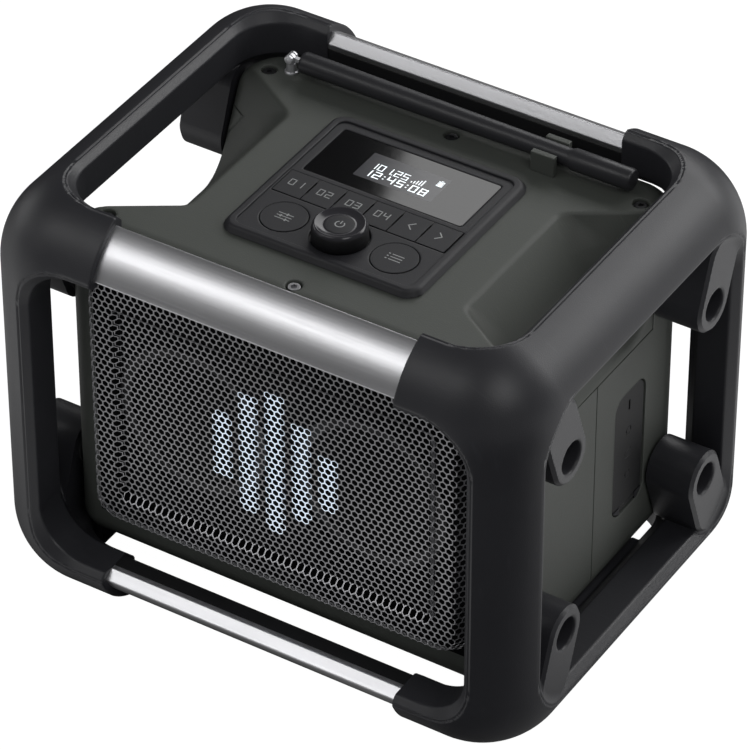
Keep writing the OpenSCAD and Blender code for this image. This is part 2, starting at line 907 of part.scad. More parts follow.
module knob() {
    foot = face_z + knob_lift;
    color(black) translate([0, knob_y, 0]) difference() {
        rotate_extrude() polygon([[0, foot], [knob_r, foot], [knob_r, knob_top - 2 * knob_taper],
            [knob_r - knob_taper, knob_top], [0, knob_top]]);
        cylinder(r = shaft_r + running, h = knob_top - shaft_sunk + running);
        translate([0, 0, knob_top - cap_h - cap_sunk]) cylinder(r = cap_r + running, h = knob_top);
    }
}

module knob_cap() {
    color(black) translate([0, knob_y, knob_top - cap_h - cap_sunk]) cylinder(r = cap_r, h = cap_h);
}

// Antenna

module antenna_post() {
    color(silver) translate([ant_x, ant_y, 0]) difference() {
        union() {
            translate([0, 0, body_top]) cylinder(r1 = post_foot_r, r2 = post_neck_r, h = ant_z - body_top);
            translate([0, 0, ant_z]) rotate([90, 0, 0]) cylinder(r = tongue_r, h = fork_wide, center = true);
        }
        translate([-2 * post_foot_r, -fork_slot / 2, ant_z - tongue_r - 2 * key_gap])
            cube([4 * post_foot_r, fork_slot, cage_h]);
        translate([0, 0, ant_z]) rotate([90, 0, 0]) cylinder(r = pin_r + ease, h = cage_d, center = true);
    }
}

module antenna_pin() {
    color(steel) translate([ant_x, ant_y, ant_z]) rotate([90, 0, 0])
        cylinder(r = pin_r, h = fork_wide, center = true);
}

module antenna_tongue() {
    t = fork_slot - 2 * key_gap;
    color(silver) translate([ant_x, ant_y, ant_z]) difference() {
        union() {
            rotate([90, 0, 0]) cylinder(r = tongue_r, h = t, center = true);
            translate([0, -t / 2, -tongue_r / 2]) cube([whip_start, t, tongue_r]);
        }
        rotate([90, 0, 0]) cylinder(r = pin_r + running, h = fork_wide, center = true);
    }
}

module antenna_whip() {
    r = whip_d / 2;
    thin = r * whip_thin;
    tip = whip_len - tip_len;
    color(soft_black) translate([ant_x, ant_y, ant_z]) rotate([0, 90, 0]) rotate_extrude()
        polygon([[0, whip_start], [r - soft, whip_start], [r, whip_start + soft], [thin, tip - soft], [r, tip],
            [r, whip_len - soft], [r - soft, whip_len], [0, whip_len]]);
}

// Two tabs that the whip lies between
module antenna_clip() {
    near = whip_d / 2 * whip_thin + clip_room;
    color(olive) for (y = [ant_y - near - clip_t, ant_y + near])
        translate([clip_x - clip_w / 2, y, body_top]) cube([clip_w, clip_t, clip_h]);
}

// Side sockets

module port_shape(grow, low, high) {
    translate([0, port_y, (port_low + port_high) / 2]) along_x() slab(
        rounded(port_w / 2 + grow, (port_high - port_low) / 2 + grow, flap_r + grow), low, high);
}

module port_pocket() {
    port_shape(port_gap, body_x - 2 * wall, cage_w);
}

module at_port_pin() { translate([port_pin_x, port_y, port_pin_z]) rotate([90, 0, 0]) children(); }

module port_cover() {
    color(soft_black) difference() {
        union() {
            intersection() {
                port_shape(0, body_x - flap_t, body_x);
                box([0, 0, port_pin_z + knuckle_r + flap_swing], [cage_w, cage_d, cage_h]);
            }
            at_port_pin() cylinder(r = knuckle_r, h = 2 * knuckle_half, center = true);
            box([body_x - flap_t, port_y - knuckle_half, port_pin_z],
                [body_x, port_y + knuckle_half, port_pin_z + 2 * knuckle_r]);
        }
        at_port_pin() cylinder(r = port_pin_r + running, h = 2 * port_w, center = true);
        translate([body_x - pull_h / 2, port_y - pull_w / 2, port_high - pull_w])
            cube([pull_h, pull_w, pull_h]);
    }
}

module port_pin() {
    color(steel) at_port_pin() cylinder(r = port_pin_r, h = 2 * pin_half, center = true);
}

module port_plate() {
    far = body_x - wall;
    color(black) difference() {
        union() {
            box([far - port_room - port_wall, port_y - port_w / 2 - port_ear, port_low - port_ear],
                [far, port_y + port_w / 2 + port_ear, port_high + port_ear]);
            intersection() {
                port_shape(0, far - over, body_x);
                box([0, 0, 0], [cage_w, cage_d, port_pin_z + knuckle_r]);
            }
        }
        box([far - port_room, port_y - port_w / 2 + port_ear, port_pin_z + knuckle_r],
            [cage_w, port_y + port_w / 2 - port_ear, port_high - port_ear]);
        box([far - port_gap, port_y - knuckle_half - port_gap, 0],
            [cage_w, port_y + knuckle_half + port_gap, cage_h]);
        at_port_pin() cylinder(r = port_pin_r + running, h = pin_half * 2, center = true);
    }
}

module port_sockets() {
    floor_x = body_x - wall - port_room;
    high = port_high - port_low;
    color(steel) {
        for (at = usb_at)
            translate([floor_x, port_y - usb_w / 2, port_low + at * high]) difference() {
                cube([socket_deep, usb_w, usb_h]);
                translate([socket_wall, socket_wall, socket_wall])
                    cube([socket_deep, usb_w - 2 * socket_wall, usb_h - 2 * socket_wall]);
            }
        translate([floor_x, port_y, port_low + jack_at * high]) rotate([0, 90, 0]) difference() {
            cylinder(r = jack_r, h = socket_deep);
            translate([0, 0, socket_wall]) cylinder(r = jack_bore, h = socket_deep);
        }
    }
}

// Battery and boards

module battery_pack() {
    back = body_back - body_r;
    color(board_green) box([-cell_w / 2, back - cell_d, body_base + wall],
        [cell_w / 2, back, body_base + wall + cell_h]);
}

module main_board() {
    color(board_green) box([-main_w / 2, main_y, main_z - main_h / 2],
        [main_w / 2, main_y + board_h, main_z + main_h / 2]);
}

module heat_sink() {
    pitch = sink_w / sink_fins;
    color(silver) translate([-sink_w / 2, main_y - sink_t, main_z - sink_h / 2]) difference() {
        cube([sink_w, sink_t, sink_h]);
        for (i = [0:sink_fins - 1])
            translate([(i + (1 - fin_gap) / 2) * pitch, -over, -over])
                cube([fin_gap * pitch, sink_t - wall + over, sink_h + 2 * over]);
    }
}

left_end_frame();
right_end_frame();
bar(1, 0);  // bar_front_top
bar(0, 0);  // bar_rear_top
bar(1, 1);  // bar_front_bottom
bar(0, 1);  // bar_rear_bottom
bar_cores();
bar_screws();
lug_washers();
lug_screws();
feet();
front_shell();
rear_shell();
top_cover();
top_screws();
shell_screws();
grille();
battery_door();
door_screws();
driver_frames();
driver_magnets();
surrounds();
cone(-1);  // cone_left
cone(1);  // cone_right
driver_screws();
panel_bezel();
display_lens();
display_module();
panel_board();
switches();
key(0);  // key_1
key(1);  // key_2
key(2);  // key_3
key(3);  // key_4
key(4);  // key_5
key(5);  // key_6
round_key(-1);  // round_key_left
round_key(1);  // round_key_right
encoder();
encoder_shaft();
knob();
knob_cap();
antenna_post();
antenna_pin();
antenna_tongue();
antenna_whip();
antenna_clip();
port_cover();
port_pin();
port_plate();
port_sockets();
battery_pack();
main_board();
heat_sink();
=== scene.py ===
import bpy
import bmesh
import json
from math import acos, cos, hypot, pi, radians, sin, sqrt
import numpy as np
from mathutils import Matrix, Vector


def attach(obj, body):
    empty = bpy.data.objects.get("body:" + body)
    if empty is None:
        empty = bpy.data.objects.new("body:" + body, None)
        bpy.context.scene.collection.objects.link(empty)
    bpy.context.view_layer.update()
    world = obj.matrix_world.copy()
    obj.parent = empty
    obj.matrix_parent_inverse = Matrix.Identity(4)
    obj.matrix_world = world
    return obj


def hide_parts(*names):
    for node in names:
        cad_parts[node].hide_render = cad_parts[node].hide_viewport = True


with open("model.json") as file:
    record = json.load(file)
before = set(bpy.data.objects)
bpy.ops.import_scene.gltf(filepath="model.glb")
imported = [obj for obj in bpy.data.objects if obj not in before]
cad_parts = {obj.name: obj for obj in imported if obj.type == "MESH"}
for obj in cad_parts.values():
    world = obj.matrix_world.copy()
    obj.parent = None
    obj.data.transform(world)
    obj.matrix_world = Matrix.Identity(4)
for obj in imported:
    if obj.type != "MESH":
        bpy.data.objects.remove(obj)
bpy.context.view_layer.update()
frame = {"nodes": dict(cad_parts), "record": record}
scene = bpy.context.scene
scene.view_settings.view_transform = "Standard"
mm = 0.001
bodyOf = {n: b for b, names in frame["record"]["behaviour"]["bodies"].items() for n in names}
print("frame loaded:", len(frame["nodes"]), "nodes")

# camera at the photograph's place
shot = {"eye": (1.0977, -1.7590, 1.7582), "right": (0.8484, 0.5293, 0.0), "up": (-0.3279, 0.5256, 0.7850),
        "back": (0.4155, -0.6660, 0.6195), "lens": 242.33}
cameraData = bpy.data.cameras.new("shotCamera")
cameraData.lens = shot["lens"]
cameraData.sensor_width = 36
cameraData.sensor_fit = "HORIZONTAL"
cameraData.clip_end = 30
cameraObject = bpy.data.objects.new("shotCamera", cameraData)
scene.collection.objects.link(cameraObject)
turn = Matrix((shot["right"], shot["up"], shot["back"])).transposed()
cameraObject.matrix_world = Matrix.Translation(shot["eye"]) @ turn.to_quaternion().to_matrix().to_4x4()
scene.camera = cameraObject

# soft boxes, each aimed at the middle of the object unless it has an aim of its own
lamps = {
    "backBox": {"at": (0.22, 1.41, 1.224), "size": (2.15, 1.0), "watts": 18},
    "backRight": {"at": (1.3, 1.5, 1.0), "size": (1.0, 0.8), "watts": 7},
    "cornerBox": {"at": (1.12, -0.62, 1.62), "size": (0.8, 0.8), "watts": 6},
    "keyStrip": {"at": (-0.85, -1.18, 1.66), "aim": (-0.85, -0.1, 0.24), "size": (1.6, 0.55), "watts": 6.3},
    "frontLeft": {"at": (-1.7, -1.1, 1.1), "size": (1.4, 1.2), "watts": 2.2},
    "leftStrip": {"at": (-1.9, 0.1, 0.45), "size": (0.9, 0.6), "watts": 2.5},
}
for name, spec in lamps.items():
    lampData = bpy.data.lights.new(name, "AREA")
    lampData.shape = "RECTANGLE"
    lampData.size, lampData.size_y = spec["size"]
    lampData.energy = spec["watts"]
    lamp = bpy.data.objects.new(name, lampData)
    lamp.location = spec["at"]
    away = Vector(spec["at"]) - Vector(spec.get("aim", (0, 0, 0.13)))
    lamp.rotation_euler = away.to_track_quat("Z", "Y").to_euler()
    scene.collection.objects.link(lamp)

# node helpers: a socket given for a socket is linked, any other value is set
def put(tree, kind, sockets=None, **settings):
    node = tree.nodes.new(kind)
    for key, value in settings.items():
        setattr(node, key, value)
    for key, value in (sockets or {}).items():
        if isinstance(value, bpy.types.NodeSocket):
            tree.links.new(value, node.inputs[key])
        else:
            node.inputs[key].default_value = value
    return node

def mathNode(tree, how, *values):
    return put(tree, "ShaderNodeMath", dict(enumerate(values)), operation=how).outputs[0]

def ramp(tree, value, low, high):
    return put(tree, "ShaderNodeMapRange", {"Value": value, "From Min": low, "From Max": high}).outputs["Result"]

def mixNode(tree, share, first, second):
    return put(tree, "ShaderNodeMixShader", {"Fac": share, 1: first, 2: second}).outputs[0]

def scaled(tree, colour, share):
    return put(tree, "ShaderNodeVectorMath", {0: colour, "Scale": share}, operation="SCALE").outputs[0]

def mirrorRay(tree, seen):
    return mathNode(tree, "MAXIMUM", seen.outputs["Is Glossy Ray"], seen.outputs["Is Transmission Ray"])

def startGroup(name, kind, ins, outs):
    tree = bpy.data.node_groups.new(name, kind)
    for way, sockets in (("INPUT", ins), ("OUTPUT", outs)):
        for label, socket in sockets.items():
            tree.interface.new_socket(label, in_out=way, socket_type="NodeSocket" + socket)
    return tree, tree.nodes.new("NodeGroupInput").outputs, tree.nodes.new("NodeGroupOutput").inputs

# world: white to the camera and a dim fill; metal and glass see pale paper low on the right and a dark studio elsewhere
studio = {"fill": 0.22, "fillTone": (0.93, 0.96, 1.0, 1), "paper": 1.0, "dark": 0.07, "low": (0.16, 0.02),
          "right": (-0.1, 0.6)}
world = bpy.data.worlds.new("studio")
scene.world = world
world.use_nodes = True
sky = world.node_tree
sky.nodes.clear()
fill = put(sky, "ShaderNodeBackground", {"Color": studio["fillTone"], "Strength": studio["fill"]}).outputs[0]
paper, dark = (put(sky, "ShaderNodeBackground", {"Strength": studio[key]}).outputs[0] for key in ("paper", "dark"))
aim = put(sky, "ShaderNodeSeparateXYZ", {0: put(sky, "ShaderNodeTexCoord").outputs["Generated"]})
lowRight = mathNode(sky, "MULTIPLY", ramp(sky, aim.outputs["Z"], *studio["low"]),
                    ramp(sky, aim.outputs["X"], *studio["right"]))
seen = put(sky, "ShaderNodeLightPath")
offCamera = mixNode(sky, mirrorRay(sky, seen), fill, mixNode(sky, lowRight, dark, paper))
put(sky, "ShaderNodeOutputWorld", {"Surface": mixNode(sky, seen.outputs["Is Camera Ray"], offCamera, paper)})

# pale floor that keeps a soft shadow; in reflections it is bright at the right, less so at the front, dim at the left
floor = {"half": 6, "tone": (0.72, 0.72, 0.72, 1), "glow": 1.16, "glowShare": 0.86,
         "zones": {"right": ((0.02, 0.22), (-0.15, 0.08), 0.95), "front": ((0.12, 0.05), (-0.11, -0.20), 0.90),
                   "far": ((0.06, -0.04), (-0.17, -0.27), -0.62), "left": ((-0.12, -0.35), (0.25, 0.0), 0.40)}}
floorMesh = bpy.data.meshes.new("paleFloor")
floorMesh.from_pydata([(floor["half"] * x, floor["half"] * y, 0) for x, y in ((-1, -1), (1, -1), (1, 1), (-1, 1))],
                      [], [(0, 1, 2, 3)])
floorObject = bpy.data.objects.new("paleFloor", floorMesh)
scene.collection.objects.link(floorObject)
floorMat = bpy.data.materials.new("palePaper")
floorMat.use_nodes = True
sheet = floorMat.node_tree
sheet.nodes.clear()
spot = put(sheet, "ShaderNodeSeparateXYZ", {0: put(sheet, "ShaderNodeTexCoord").outputs["Object"]})
level = 0
for spanX, spanY, share in floor["zones"].values():
    zone = mathNode(sheet, "MULTIPLY", ramp(sheet, spot.outputs["X"], *spanX), ramp(sheet, spot.outputs["Y"], *spanY))
    level = mathNode(sheet, "MULTIPLY_ADD", zone, share, level)
matt = put(sheet, "ShaderNodeBsdfDiffuse", {"Color": floor["tone"]}).outputs[0]
mirrored, glow = (put(sheet, "ShaderNodeEmission", {"Strength": v}).outputs[0] for v in (level, floor["glow"]))
seen = put(sheet, "ShaderNodeLightPath")
glowing = mathNode(sheet, "MULTIPLY", seen.outputs["Is Camera Ray"], floor["glowShare"])
offCamera = mixNode(sheet, mirrorRay(sheet, seen), matt, mirrored)
put(sheet, "ShaderNodeOutputMaterial", {"Surface": mixNode(sheet, glowing, offCamera, glow)})
floorMesh.materials.append(floorMat)
print("camera, lamps and floor set")

# fine spark-eroded grain, faint clouds of tone and small scuffs
surface = {"Color": "Color", "Rough": "Float", "Height": "Float"}
grain, gi, go = startGroup("mouldedGrain", "ShaderNodeTree",
    {"Tone": "Color", "Cloud": "Float", "Rough": "Float", "RoughShift": "Float", "GrainScale": "Float",
     "Scuff": "Float"}, surface)
where = put(grain, "ShaderNodeTexCoord").outputs["Object"]
cloud = put(grain, "ShaderNodeTexNoise", {"Vector": where, "Scale": 17, "Detail": 4}).outputs["Fac"]
pits = put(grain, "ShaderNodeTexNoise", {"Vector": where, "Scale": gi["GrainScale"], "Detail": 2}).outputs["Fac"]
drag = put(grain, "ShaderNodeMapping", {"Vector": where, "Rotation": (0.4, 0.9, 0.6), "Scale": (1, 9, 1)}).outputs[0]
scratch = put(grain, "ShaderNodeTexNoise", {"Vector": drag, "Scale": 60, "Detail": 5}).outputs["Fac"]
scuffed = mathNode(grain, "MULTIPLY", ramp(grain, scratch, 0.62, 0.74), gi["Scuff"])
cloudy, pitted = (mathNode(grain, "SUBTRACT", value, 0.5) for value in (cloud, pits))
lift = mathNode(grain, "ADD", mathNode(grain, "MULTIPLY", cloudy, gi["Cloud"]), 1.0)
grain.links.new(scaled(grain, gi["Tone"], mathNode(grain, "ADD", lift, scuffed)), go["Color"])
sway, speck = (mathNode(grain, "MULTIPLY", value, gi["RoughShift"]) for value in (cloudy, pitted))
swayed = mathNode(grain, "ADD", gi["Rough"], sway)
grain.links.new(mathNode(grain, "ADD", swayed, speck), go["Rough"])
grain.links.new(pits, go["Height"])

# long fine lines of a brushed or drawn metal, along X
brushed, bi, bo = startGroup("drawnLines", "ShaderNodeTree",
    {"Tone": "Color", "Rough": "Float", "RoughShift": "Float"}, surface)
where = put(brushed, "ShaderNodeTexCoord").outputs["Object"]
along = put(brushed, "ShaderNodeMapping", {"Vector": where, "Scale": (12, 2400, 2400)}).outputs[0]
lines = put(brushed, "ShaderNodeTexNoise", {"Vector": along, "Scale": 1, "Detail": 3}).outputs["Fac"]
haze = put(brushed, "ShaderNodeTexNoise", {"Vector": where, "Scale": 22}).outputs["Fac"]
swing = mathNode(brushed, "MULTIPLY", mathNode(brushed, "SUBTRACT", lines, 0.5), bi["RoughShift"])
brushed.links.new(mathNode(brushed, "ADD", bi["Rough"], swing), bo["Rough"])
shade = mathNode(brushed, "ADD", mathNode(brushed, "MULTIPLY", haze, 0.16), 0.92)
brushed.links.new(scaled(brushed, bi["Tone"], shade), bo["Color"])
brushed.links.new(lines, bo["Height"])

# linear tone, roughness and its shift, grain (lumps per metre), relief (micrometres), cloud, scuff, metal, shine
finishes = {
    "cageBlack": ((0.025, 0.025, 0.029), 0.42, 0.14, 1500, 60, 0.25, 0.22),
    "shellOlive": ((0.063, 0.068, 0.060), 0.56, 0.12, 1300, 70, 0.18, 0.10),
    "panelGrey": ((0.014, 0.014, 0.017), 0.54, 0.10, 1900, 40, 0.16, 0.06),
    "keyGrey": ((0.015, 0.015, 0.018), 0.56, 0.10, 2100, 30, 0.14, 0.05),
    "grilleGrey": ((0.430, 0.428, 0.445), 0.34, 0.16, 1700, 50, 0.20, 0.12, 0.75),
    "softRubber": ((0.016, 0.016, 0.017), 0.66, 0.14, 1100, 90, 0.35, 0.30),
    "flapRubber": ((0.005, 0.005, 0.006), 0.60, 0.12, 1300, 50, 0.25, 0.20),
    "whipBlack": ((0.024, 0.024, 0.027), 0.40, 0.12, 1500, 30, 0.20, 0.15),
    # near-black of the bar cores and driver surrounds; on key walls and key slits it is painted shade
    "coreBlack": ((0.006, 0.006, 0.007), 0.60, 0.14, 1200, 60, 0.30, 0.20),
    # near-black with little shine: the wall behind the grille, partly a dark backing and partly painted shade
    "pitBlack": ((0.0025, 0.0025, 0.003), 0.85, 0.10, 900, 60, 0.30, 0.05, 0.0, 0.08),
    "coneBlack": ((0.006, 0.006, 0.006), 0.88, 0.08, 700, 200, 0.40, 0.05, 0.0, 0.15),
    "magnetGrey": ((0.050, 0.050, 0.052), 0.62, 0.20, 500, 120, 0.40, 0.20),
    "boardGreen": ((0.012, 0.070, 0.028), 0.42, 0.15, 260, 40, 0.30, 0.05),
    "cellWrap": ((0.020, 0.055, 0.130), 0.30, 0.12, 300, 30, 0.20, 0.10),
    "screwSteel": ((0.30, 0.30, 0.31), 0.36, 0.16, 1500, 30, 0.30, 0.30, 1.0),
    # dark steel of the driver parts and rear screws; on the top screws it stands for painted shade
    "blackSteel": ((0.030, 0.030, 0.032), 0.40, 0.16, 1500, 30, 0.30, 0.40, 0.6),
    "chromePlate": ((0.66, 0.66, 0.68), 0.30, 0.06, 900, 10, 0.08, 0.05, 0.75),
    "knobGloss": ((0.030, 0.029, 0.033), 0.17, 0.08, 1500, 10, 0.20, 0.10),
    "lensGloss": ((0.0025, 0.0025, 0.003), 0.055, 0.03, 300, 0.0, 0.20, 0.02),
    "displayGlass": ((0.048, 0.048, 0.053), 0.10, 0.05, 300, 0.0, 0.20, 0.02),
    "printGrey": ((0.34, 0.35, 0.345), 0.55, 0.10, 2500, 20, 0.25, 0.05),
    "litDigits": ((0.78, 0.82, 0.84), 0.4, 0.05, 900, 0.0, 0.16, 0.0),
    "litWhite": ((0.70, 0.79, 0.90), 0.4, 0.05, 900, 0.0, 0.16, 0.0),
}
# the motif's white print glows as painted light; the display digits glow as a real lit display
glows = {"litDigits": 0.75, "litWhite": 0.62}
mats = {}

def makeFinish(name, effect, values, bump, metal=0.0, shine=0.5):
    mats[name] = bpy.data.materials.new(name)
    mats[name].use_nodes = True
    tree = mats[name].node_tree
    shader = tree.nodes["Principled BSDF"]
    group = put(tree, "ShaderNodeGroup", values, node_tree=effect)
    tree.links.new(group.outputs["Color"], shader.inputs["Base Color"])
    tree.links.new(group.outputs["Rough"], shader.inputs["Roughness"])
    shader.inputs["Metallic"].default_value = metal
    shader.inputs["Specular IOR Level"].default_value = shine
    if bump:
        relief = put(tree, "ShaderNodeBump", {"Distance": bump * 1e-6, "Height": group.outputs["Height"]})
        tree.links.new(relief.outputs["Normal"], shader.inputs["Normal"])
    if name in glows:
        tree.links.new(group.outputs["Color"], shader.inputs["Emission Color"])
        shader.inputs["Emission Strength"].default_value = glows[name]

for name, (tone, rough, shift, lumps, bump, clouds, scuff, *metalShine) in finishes.items():
    makeFinish(name, grain, {"Tone": (*tone, 1), "Cloud": clouds, "Rough": rough, "RoughShift": shift,
                             "GrainScale": lumps, "Scuff": scuff}, bump, *metalShine)
makeFinish("barAluminium", brushed, {"Tone": (0.74, 0.74, 0.76, 1), "Rough": 0.34, "RoughShift": 0.14}, 20, 1.0)
print("finishes ready:", len(mats))

slotFinish = {"cage_black": "cageBlack", "shell_olive": "shellOlive", "bar_aluminium": "barAluminium",
              "core_black": "coreBlack", "steel": "screwSteel", "grille_paint": "grilleGrey",
              "rubber_black": "softRubber", "panel_black": "panelGrey", "key_black": "keyGrey",
              "lens_black": "lensGloss", "display_lit": "displayGlass", "chrome": "chromePlate",
              "board_green": "boardGreen", "cone_black": "coneBlack", "magnet": "magnetGrey", "cell_wrap": "cellWrap"}
nodeFinish = {"driver_frames": "blackSteel", "driver_screws": "blackSteel", "surrounds": "coreBlack"}
slotOf = {s["node"]: s["material_slot"] for s in frame["record"]["subparts"]}
for name, node in frame["nodes"].items():
    node.data.materials.clear()
    node.data.materials.append(mats[nodeFinish.get(name, slotFinish[slotOf[name]])])

# adds a finished piece: mesh already in metres at its place
def addPiece(name, mesh, finish, body, replaced=()):
    mesh.materials.clear()
    mesh.materials.append(mats[finish])
    piece = bpy.data.objects.new(name, mesh)
    scene.collection.objects.link(piece)
    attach(piece, body)
    if replaced:
        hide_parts(*replaced)
    return piece

def meshFrom(name, points, faces, sharp=None):
    mesh = bpy.data.meshes.new(name)
    mesh.from_pydata([tuple(c * mm for c in p) for p in points], [], faces)
    mesh.update()
    if sharp is not None:
        mesh.shade_smooth()
        mesh.set_sharp_from_angle(angle=radians(sharp))
    return mesh

# each point takes the direction of its larger faces, so flat faces stay flat beside eased edges
def easedNormals(mesh, endOn=2.0):
    total = np.zeros((len(mesh.vertices), 3))
    for face in mesh.polygons:
        if abs(face.normal.x) > endOn:  # ends that sit in the sleeves
            continue
        push = np.array(face.normal) * face.area
        for point in face.vertices:
            total[point] += push
    mesh.shade_smooth()
    length = np.maximum(np.linalg.norm(total, axis=1, keepdims=True), 1e-12)
    mesh.normals_split_custom_set_from_vertices((total / length).tolist())

# distance fields, in millimetres: meet keeps what both hold, join what either holds
meet, join = np.maximum, np.minimum

def softMax(a, b, k):
    h = np.maximum(k - np.abs(a - b), 0) / k
    return np.maximum(a, b) + h * h * k * 0.25

def softMin(a, b, k):
    return -softMax(-a, -b, k)

def roundRect(u, v, a, b, r):
    qu, qv = np.abs(u) - a + r, np.abs(v) - b + r
    return np.sqrt(np.maximum(qu, 0) ** 2 + np.maximum(qv, 0) ** 2) + np.minimum(np.maximum(qu, qv), 0) - r

def roundBox(x, y, z, half, r):
    q = [np.abs(c) - h + r for c, h in zip((x, y, z), half)]
    out = np.sqrt(sum(np.maximum(c, 0) ** 2 for c in q))
    return out + np.minimum(np.maximum(np.maximum(q[0], q[1]), q[2]), 0) - r

def slopeOf(field, p, h=0.02):
    g = np.empty_like(p)
    for i in range(3):
        d = np.zeros(3)
        d[i] = h
        a, b = p + d, p - d
        g[:, i] = field(a[:, 0], a[:, 1], a[:, 2]) - field(b[:, 0], b[:, 1], b[:, 2])
    return g / np.maximum(np.linalg.norm(g, axis=1, keepdims=True), 1e-9)

# turns a field into a mesh with crisp edges: one point in each cell that the surface crosses
def skinOf(field, low, high, step):
    axes = [np.arange(a, b + step, step) for a, b in zip(low, high)]
    size = [len(a) for a in axes]
    grid = np.meshgrid(*axes, indexing="ij", sparse=True)
    values = np.broadcast_to(field(*grid), size)
    inside = values < 0
    edges = []
    for d in range(3):
        a = [slice(None)] * 3
        b = [slice(None)] * 3
        a[d], b[d] = slice(0, -1), slice(1, None)
        cross = np.argwhere(inside[tuple(a)] != inside[tuple(b)])
        start = values[tuple(cross.T)]
        far = cross.copy()
        far[:, d] += 1
        end = values[tuple(far.T)]
        p = np.stack([axes[i][cross[:, i]] for i in range(3)], axis=1)
        lo, hi = np.zeros(len(p)), np.ones(len(p))
        t = start / (start - end)
        for turnCount in range(4):
            q = p.copy()
            q[:, d] += t * step
            f = field(q[:, 0], q[:, 1], q[:, 2])
            same = (f < 0) == (start < 0)
            lo, hi = np.where(same, t, lo), np.where(same, hi, t)
            t = (lo + hi) / 2
        p[:, d] += t * step
        edges.append((d, cross, p, slopeOf(field, p), start < 0))
    ids, spots, normals = [], [], []
    around = [(-1, -1), (0, -1), (0, 0), (-1, 0)]
    corners = []
    for d, cross, p, n, out in edges:
        u, v = (d + 1) % 3, (d + 2) % 3
        four = []
        for du, dv in around:
            cell = cross.copy()
            cell[:, u] += du
            cell[:, v] += dv
            four.append((cell[:, 0] * size[1] + cell[:, 1]) * size[2] + cell[:, 2])
            ids.append(four[-1])
            spots.append(p)
            normals.append(n)
        four = np.stack(four, axis=1)
        corners.append(np.where(out[:, None], four, four[:, ::-1]))
    ids, spots, normals = np.concatenate(ids), np.concatenate(spots), np.concatenate(normals)
    cells, back = np.unique(ids, return_inverse=True)
    count = np.bincount(back).astype(float)
    mass = np.stack([np.bincount(back, spots[:, i]) for i in range(3)], axis=1) / count[:, None]
    away = np.einsum("ij,ij->i", normals, spots - mass[back])
    a = np.empty((len(cells), 3, 3))
    for i in range(3):
        for j in range(3):
            a[:, i, j] = np.bincount(back, normals[:, i] * normals[:, j])
    b = np.stack([np.bincount(back, normals[:, i] * away) for i in range(3)], axis=1)
    a += np.eye(3) * (0.04 * count)[:, None, None]
    shift = np.linalg.solve(a, b[:, :, None])[:, :, 0]
    points = mass + np.clip(shift, -0.75 * step, 0.75 * step)
    quads = np.searchsorted(cells, np.concatenate(corners))
    centre = points[quads].mean(axis=1)
    probe = (points[quads] * 0.62 + centre[:, None, :] * 0.38).reshape(-1, 3)
    return points, quads, slopeOf(field, probe)

def skinMesh(name, skin, flip=False):
    points, quads, normals = skin
    if flip:
        points = points * (-1, 1, 1)
        normals = (normals * (-1, 1, 1)).reshape(-1, 4, 3)[:, ::-1].reshape(-1, 3)
        quads = quads[:, ::-1]
    mesh = bpy.data.meshes.new(name)
    mesh.vertices.add(len(points))
    mesh.vertices.foreach_set("co", (points * mm).ravel())
    mesh.loops.add(quads.size)
    mesh.loops.foreach_set("vertex_index", quads.ravel().astype(np.int32))
    mesh.polygons.add(len(quads))
    mesh.polygons.foreach_set("loop_start", np.arange(0, quads.size, 4, dtype=np.int32))
    mesh.update(calc_edges=True)
    mesh.shade_smooth()
    mesh.normals_split_custom_set(normals.tolist())
    return mesh

# a moulded piece that stands for a CAD node
def moulded(name, field, low, high, step, finish, node):
    skin = skinOf(field, low, high, step)
    print(name, len(skin[0]), "points")
    return addPiece(name, skinMesh(name, skin), finish, bodyOf[node], (node,))

# a refined copy of a CAD node: merged, flat faces joined, edges eased
def refined(node, finish, ease):
    bm = bmesh.new()
    bm.from_mesh(frame["nodes"][node].data)
    bmesh.ops.remove_doubles(bm, verts=bm.verts, dist=2e-6)
    bmesh.ops.dissolve_limit(bm, angle_limit=radians(0.6), verts=bm.verts, edges=bm.edges)
    if ease:
        hard = [e for e in bm.edges if e.is_manifold and e.calc_face_angle() > radians(28)]
        bmesh.ops.bevel(bm, geom=hard, offset=ease * mm, segments=2, profile=0.5, affect="EDGES", clamp_overlap=True)
    mesh = bpy.data.meshes.new(node + "Eased")
    bm.to_mesh(mesh)
    bm.free()
    if ease:
        easedNormals(mesh)
    else:
        mesh.shade_smooth()
        mesh.set_sharp_from_angle(angle=radians(32))
    return addPiece(node + "Eased", mesh, finish, bodyOf[node], (node,))

# end frames of the cage
cage = {"half": (165, 131, 128), "middle": 128, "round": 48, "rail": 35, "windowRound": 27, "bevel": (7.4, 8.4, 7.4),
        "wallDeep": 26.5, "rebate": (1.2, 0.8, 5.2), "clear": 1.6, "sleeveEnd": 89.5, "edge": 0.7,
        "lugAt": (72.8, 57.5), "lugReach": 26, "lugTurn": 70, "lugRound": 15.5, "lugX": (132.5, 160), "lugBevel": 1.8,
        "boreRound": 9, "boreFloor": 140, "step": 1.3, "pad": ((122, 148), (-80, 56.6), (8, 27))}
hull = {"half": (131, 97.25, 102.5), "centre": (0, 5.25, 127.5), "front": 15, "rear": 27, "edge": 15}

def hullField(x, y, z):
    hx, hy, hz = hull["half"]
    cx, cy, cz = hull["centre"]
    plan = roundRect(x - cx, y - cy, hx, hy, np.where(y > cy, hull["rear"], hull["front"]))
    qp, qz = plan + hull["edge"], np.abs(z - cz) - hz + hull["edge"]
    return np.sqrt(np.maximum(qp, 0) ** 2 + np.maximum(qz, 0) ** 2) + np.minimum(np.maximum(qp, qz), 0) - hull["edge"]

